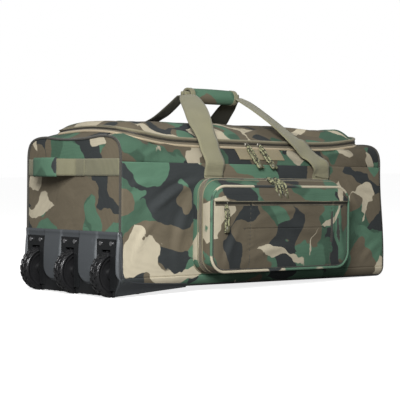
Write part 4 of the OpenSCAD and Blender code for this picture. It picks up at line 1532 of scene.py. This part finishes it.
def housing_face(mats):
    """End face: convex panels between the brackets, with darker sunken ground round them."""
    rows, edge = [], []
    y_edge = HALF_W + 0.0030
    for y in np.linspace(-y_edge, y_edge, 240):
        row = []
        for z in np.linspace(FOOT_LOW, HOUSING_TOP, 96):
            inside = float(ramp(-bay_edge(y, z), -0.0010, 0.0060))
            rise = np.clip((z + 0.004) / 0.112, 0, 1)
            swell = 0.0075 * inside * (0.35 + 0.65 * math.sin(math.pi * rise) ** 0.7)
            corner = 0.005 * float(ramp(abs(y), y_edge - 0.008, y_edge)) ** 2
            sill = 0.0016 * bell(z - 0.111, 0.004)
            row.append((-0.3925 - swell + corner - sill, y * (1 - undercut(z) / y_edge), z))
            edge.append(bay_edge(y, z) if z < 0.100 else min(bay_edge(y, z), 0.0 - 0.001))
        rows.append(row)
    obj = grid("housing_front", rows, mats["housing_face"])
    obj.data.attributes.new("bay", "FLOAT", "POINT").data.foreach_set("value", edge)
    # cut the wheel openings through the face
    cut_away(obj, lambda c: any(abs(c.y - w) < 0.0180 for w in WHEEL_Y) and c.z < 0.080)
    face_outwards(obj)
    return thicken(obj, 0.0030)


def housing(mats):
    """One moulding: end face, wrapped walls, floor plate and three wheel wells."""
    pieces = [housing_face(mats)] + [housing_lip(side, mats) for side in (-1, 1)]
    rows = []
    for x in np.linspace(-0.392, TAIL_X, 60):
        t = (x + 0.392) / (TAIL_X + 0.392)
        bottom = FOOT_LOW + 0.0135 * t ** 1.1
        half = HALF_W + 0.003 - undercut(bottom)
        rows.append([(x, y, bottom - 0.0006 * math.cos(y * 2 * math.pi / 0.02))
                     for y in np.linspace(-half, half, 120)])
    plate = grid("housing_floor", rows, mats["housing"])
    cut_away(plate, lambda c: any(abs(c.y - w) < 0.0205 for w in WHEEL_Y) and c.x < -0.331)
    face_outwards(plate)
    pieces.append(thicken(plate, 0.0024))
    for k, w in enumerate(WHEEL_Y):
        for side in (-1, 1):
            y = w + side * 0.0225
            pieces.append(box_mesh(f"well_side_{k}_{side}", (-0.391, y - 0.0013, FOOT_LOW + 0.003),
                                   (-0.327, y + 0.0013, 0.0845), mats["housing"]))
        pieces.append(box_mesh(f"well_top_{k}", (-0.391, w - 0.0235, 0.0825),
                               (-0.327, w + 0.0235, 0.0850),
                               mats["housing"]))
        pieces.append(box_mesh(f"well_back_{k}", (-0.3292, w - 0.0235, FOOT_LOW + 0.006),
                               (-0.3265, w + 0.0235, 0.0850),
                               mats["housing"]))
    return join("housing_moulding", pieces)


def tyre(index, mats):
    """Knobbly tread: rounded carcass with three staggered rows of glossy blocks."""
    y0 = WHEEL_Y[index]
    half = TYRE_W / 2
    around = 96
    profile = [(0.038, -half), (0.0435, -half), (0.0455, -half * 0.72), (0.0462, 0.0), (0.0455, half * 0.72),
               (0.0435, half), (0.038, half)]
    rows = []
    for k in range(around):
        a = 2 * math.pi * k / around
        rows.append([(AXLE_X + r * math.cos(a), y0 + w, AXLE_Z + r * math.sin(a)) for r, w in profile])
    vertices = np.array(rows).reshape(-1, 3)
    faces = grid_faces(around, len(profile), wrap_rows=True, wrap_columns=True)
    carcass = fix_normals(finish_mesh("carcass", vertices, faces, mats["tyre"]))
    blocks = []
    count = 20
    for row, (w, wide, low, high, lean) in enumerate(((-0.0088, 0.0078, 0.0432, 0.0484, 0.10),
                                                     (0.0, 0.0074, 0.0452, WHEEL_R - 0.0005, 0.0),
                                                     (0.0088, 0.0078, 0.0432, 0.0484, -0.10))):
        for k in range(count):
            a0 = 2 * math.pi * (k + (0.5 if row == 1 else 0.0)) / count
            half_angle = math.pi / count * (0.66 if row == 1 else 0.72)
            block = []
            for r, grow in ((low, 1.0), (high - 0.0012, 0.94), (high, 0.74)):
                for sa, sw in ((-1, -1), (1, -1), (1, 1), (-1, 1)):
                    a = a0 + sa * half_angle * grow + lean * sw * 0.5
                    rr = r - (0.0016 if (abs(w) > 0 and sw * w > 0) else 0.0)
                    block.append((AXLE_X + rr * math.cos(a), y0 + w + sw * wide / 2 * grow,
                                  AXLE_Z + rr * math.sin(a)))
            blocks.append(block)
    vertices, faces = [], []
    for block in blocks:
        base = len(vertices)
        vertices += block
        for level in (0, 4):
            faces += [(base + level + i, base + level + (i + 1) % 4,
                       base + level + 4 + (i + 1) % 4, base + level + 4 + i)
                      for i in range(4)]
        faces += [(base + 8, base + 9, base + 10, base + 11), (base + 3, base + 2, base + 1, base)]
    knobs = fix_normals(finish_mesh("knobs", vertices, faces, mats["tyre"], smooth=False))
    return join(f"tread_{index + 1}", [carcass, knobs])


# ---------------------------------------------------------------- zip sliders and pulls

def on_zip(points, x, y, z, turn):
    """Move points given beside a zip (out is -y, pull hangs along -z) into the bag's frame."""
    c, s = math.cos(turn), math.sin(turn)
    p = np.asarray(points, float)
    return np.column_stack([p[:, 0] + x, p[:, 1] * c - p[:, 2] * s + y, p[:, 1] * s + p[:, 2] * c + z])


def slider(name, x, y, z, turn, mats, node):
    """Cast slider: a rounded wedge with a bridge that holds the pull."""
    half_x, half_z = 0.0055, 0.0046
    rows = []
    for level, grow in ((-0.0002, 0.96), (-0.0010, 1.0), (-0.0020, 0.96), (-0.0027, 0.80)):
        ring = []
        for k in range(28):
            a = 2 * math.pi * k / 28
            ca, sa = math.cos(a), math.sin(a)
            px = half_x * grow * math.copysign(abs(ca) ** 0.6, ca)
            pz = half_z * grow * math.copysign(abs(sa) ** 0.6, sa) * (1 - 0.12 * ca)
            ring.append((px, level, pz))
        rows.append(ring)
    rows = np.array(rows)
    vertices = rows.reshape(-1, 3)
    faces = grid_faces(4, 28, wrap_columns=True)
    faces += [tuple(range(28)), tuple(3 * 28 + k for k in reversed(range(28)))]
    body = fix_normals(finish_mesh("wedge", on_zip(vertices, x, y, z, turn), faces, mats["slider"]))
    arch = [(0, -0.0024 - 0.0040 * math.sin(math.pi * t), -0.0038 + 0.0062 * t)
            for t in np.linspace(0, 1, 16)]
    bridge = tube("bridge", on_zip(arch, x, y, z, turn), 0.0010, mats["slider"], sides=8)
    obj = join(name, [body, bridge])
    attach(obj, node)
    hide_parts(node)
    return obj


def pull(name, line, x, y, z, turn, mats, node, gap=0.0054, tip=0.015, radius=0.0029):
    """Looped cord: two strands side by side from the slider's bridge to a moulded end."""
    line = smooth_line(line, 60)
    length = np.concatenate([[0], np.cumsum(np.linalg.norm(np.diff(line, axis=0), axis=1))])
    total = length[-1]
    strands = []
    for side in (-1, 1):
        offset = np.array([gap * side * min(1.0, (l + 0.0006) / 0.012) for l in length])
        wob = np.array([0.0004 * math.sin(l * 420 + side) for l in length])
        strand = line.copy()
        strand[:, 0] += offset + wob
        strands.append(strand)
    pieces = [tube(f"strand_{k}", on_zip(s, x, y, z, turn), radius, mats["cord"], sides=10)
              for k, s in enumerate(strands)]
    start = total - tip
    part = line[length >= start - 1e-6]
    share = np.linspace(0, 1, len(part))
    swell = 0.0056 * np.sin(np.pi * (0.12 + 0.76 * share)) ** 0.5 + 0.0006
    pieces.append(tube("end", on_zip(part, x, y, z, turn), swell, mats["tip"], sides=14))
    obj = join(name, pieces)
    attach(obj, node)
    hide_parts(node)
    return obj


SLOPE = math.atan2(0.017, 0.032)


def zip_hardware(mats):
    lean = math.radians(36)
    hang = lambda length, angle, bend=0.0: [
        (bend * (t * length) ** 2, -0.0056 - math.sin(angle) * t * length,
         -0.002 - math.cos(angle) * t * length)
        for t in np.linspace(0, 1, 8)]
    for side, x in (("left", -0.020), ("right", 0.017)):
        y, z = -LID_HALF_W - 0.0052, 0.3036
        slider(f"main_runner_{side}", x, y, z, 0.0, mats, f"main_slider_{side}")
        pull(f"main_cord_{side}", hang(0.062, lean, 2.2 if side == "left" else 3.4), x, y, z, 0.0, mats,
             f"main_pull_{side}")
    turn = SLOPE - math.pi / 2
    base_y = POCKET_SPLIT - 0.0003 - 0.006 * math.cos(SLOPE)
    base_z = POCKET_Z[1] - 0.006 * math.sin(SLOPE) + 0.0006
    for side, x in (("left", -0.014), ("right", 0.006)):
        slider(f"pocket_runner_{side}", x, base_y, base_z, turn, mats, f"pocket_slider_{side}")
        over = [(0, -0.0047, -0.002 - t) for t in np.linspace(0, 0.026, 5)]
        edge = over[-1]
        down = [(0.0, edge[1] + 0.0015 + math.cos(SLOPE) * d, edge[2] - 0.0045 - math.sin(SLOPE) * d)
                for d in np.linspace(0.004, 0.030, 5)]
        line = [(0.10 * (k / 9.0) ** 2 * 0.12, p[1], p[2]) for k, p in enumerate(over + down)]
        pull(f"pocket_cord_{side}", line, x, base_y, base_z, turn, mats, f"pocket_pull_{side}")
    y = POCKET_FACE - 0.0008
    slider("face_runner", -0.163, y - 0.0040, 0.176, 0.0, mats, "face_slider")
    line = [(0, -0.0056 - 0.0045 * min(1, t * 3), -0.002 - 0.060 * t) for t in np.linspace(0, 1, 9)]
    pull("face_cord", line, -0.163, y, 0.176, 0.0, mats, "face_pull", gap=0.0040, radius=0.0024)


# ---------------------------------------------------------------- putting it together

def show(obj, body, *nodes):
    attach(obj, body)
    if nodes:
        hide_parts(*nodes)
    return obj


def line_inside(obj, lining, core=CORE):
    """Coated lining on the faces that look towards a point inside the bag or the pocket."""
    core = STANCE @ Vector(core)
    obj.data.materials.append(lining)
    for face in obj.data.polygons:
        if face.normal.dot(core - face.center) > 0:
            face.material_index = 1
    return obj


def dress_cad(mats):
    """Finishes for the CAD parts that are shown as they are."""
    finish = {"base_board": "board", "bracket_rivets": "steel"}
    for k in (1, 2, 3):
        finish.update({f"wheel_bracket_{k}": "bracket", f"wheel_axle_{k}": "steel", f"wheel_hub_{k}": "hub",
                       f"wheel_bearings_{k}": "steel"})
    for node, key in finish.items():
        mesh = frame["nodes"][node].data
        mesh.materials.clear()
        mesh.materials.append(mats[key])


def main():
    add_camera()
    add_stage()
    mats = make_materials()
    dress_cad(mats)

    front = side_panel("front_cloth", -1, mats["camo_front"])
    show(line_inside(front, mats["lining"]), "bag", "front_panel")
    back = side_panel("back_cloth", 1, mats["camo_loose"])
    show(line_inside(back, mats["lining"]), "bag", "back_panel")
    shoulder = shoulder_panel("front_shoulder_cloth", -1, mats["camo_shoulder"])
    show(line_inside(shoulder, mats["lining"]), "bag", "front_shoulder")
    shoulder = shoulder_panel("back_shoulder_cloth", 1, mats["camo_loose"])
    show(line_inside(shoulder, mats["lining"]), "bag", "back_shoulder")
    decks = join("deck_cloth", [deck(f"deck_{end}", end, mats["camo_gusset"]) for end in (-1, 1)])
    show(line_inside(decks, mats["lining"]), "bag", "end_decks")
    wheel_end = end_panel("wheel_end_cloth", -1, WHEEL_END_LOW, mats["camo_end"])
    show(line_inside(wheel_end, mats["lining"]), "bag", "wheel_end_panel")
    far_end = end_panel("far_end_cloth", 1, 0.0, mats["camo_loose"])
    show(line_inside(far_end, mats["lining"]), "bag", "far_end_panel")
    base = base_panel(mats["camo_front"], mats["base"])
    show(base, "bag", "base_panel")
    cords = end_piping(mats["cord_dark"])
    show(cords, "bag", "end_piping")

    made = rim_parts(mats)
    body_zip = join("body_zip", [made["body_tape"], made["body_teeth"]])
    show(body_zip, "bag", "body_zip_tape")
    show(made["body_cord"], "bag", "body_zip_piping")
    show(join("lid_zip", [made["lid_tape"], made["lid_teeth"]]), "lid", "lid_zip_tape")
    show(made["lid_cord"], "lid", "lid_piping")
    show(lid_shell(mats["camo_lid"], mats["lining"]), "lid", "lid_panel")

    hinge, low, high = back_hinge(mats["camo_loose"])
    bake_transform(hinge)

    show(anchors(-1, mats), "bag", "front_anchor_straps")
    show(anchors(1, mats), "bag", "back_anchor_straps")
    for side, body in ((-1, "front_handle"), (1, "back_handle")):
        # the back handle's webbing is the darker copy: painted shade
        cloth = mats["webbing" if side < 0 else "webbing_painted_shade"]
        legs = [strap(f"leg_{side}_{k}", side, k, x, cloth)
                for k, x in enumerate((GRIP_X[0] - 0.009, GRIP_X[1] + 0.009))]
        legs.append(handle_core(side, mats))
        straps = join(f"{body}_webbing", legs)
        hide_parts(f"{body}_straps")
        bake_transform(straps)
    show(grip(mats), "front_handle", "grip_wrap")

    show(end_band(mats), "bag", "end_webbing_band")
    loop, line = grab_handle(mats)
    show(loop, "bag", "end_grab_handle")
    show(grab_wrap(line, mats), "bag", "end_grab_wrap")
    show(far_handle(mats), "bag", "far_end_handle")
    cloth_patch = patch(mats)
    show(cloth_patch, "bag", "blank_patch")

    back_wall = gusset(mats)
    show(line_inside(back_wall, mats["lining"], POCKET_CORE), "bag", "pocket_rear_gusset")
    rear_cord, zip_half = gusset_trim(mats)
    show(rear_cord, "bag", "pocket_rear_piping")
    show(zip_half, "bag", "pocket_zip_tape")
    shell = front_shell(mats)
    show(line_inside(shell, mats["lining"], POCKET_CORE), "pocket_flap", "pocket_front_shell")
    face_cord, front_tape = front_trim(mats)
    show(face_cord, "pocket_flap", "pocket_face_piping")
    show(front_tape, "pocket_flap")
    lip = rain_flap(mats)
    show(lip, "pocket_flap")
    # thin dark tubes along the face's pleats: painted shade
    show(pleat_shade_lines(mats), "pocket_flap")
    zip_line = face_zip(mats)
    show(zip_line, "pocket_flap", "face_zip_tape")

    show(housing(mats), "bag", "wheel_housing")
    for k in range(3):
        show(tyre(k, mats), f"wheel_{k + 1}", f"wheel_tyre_{k + 1}")
    zip_hardware(mats)

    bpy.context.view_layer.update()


main()
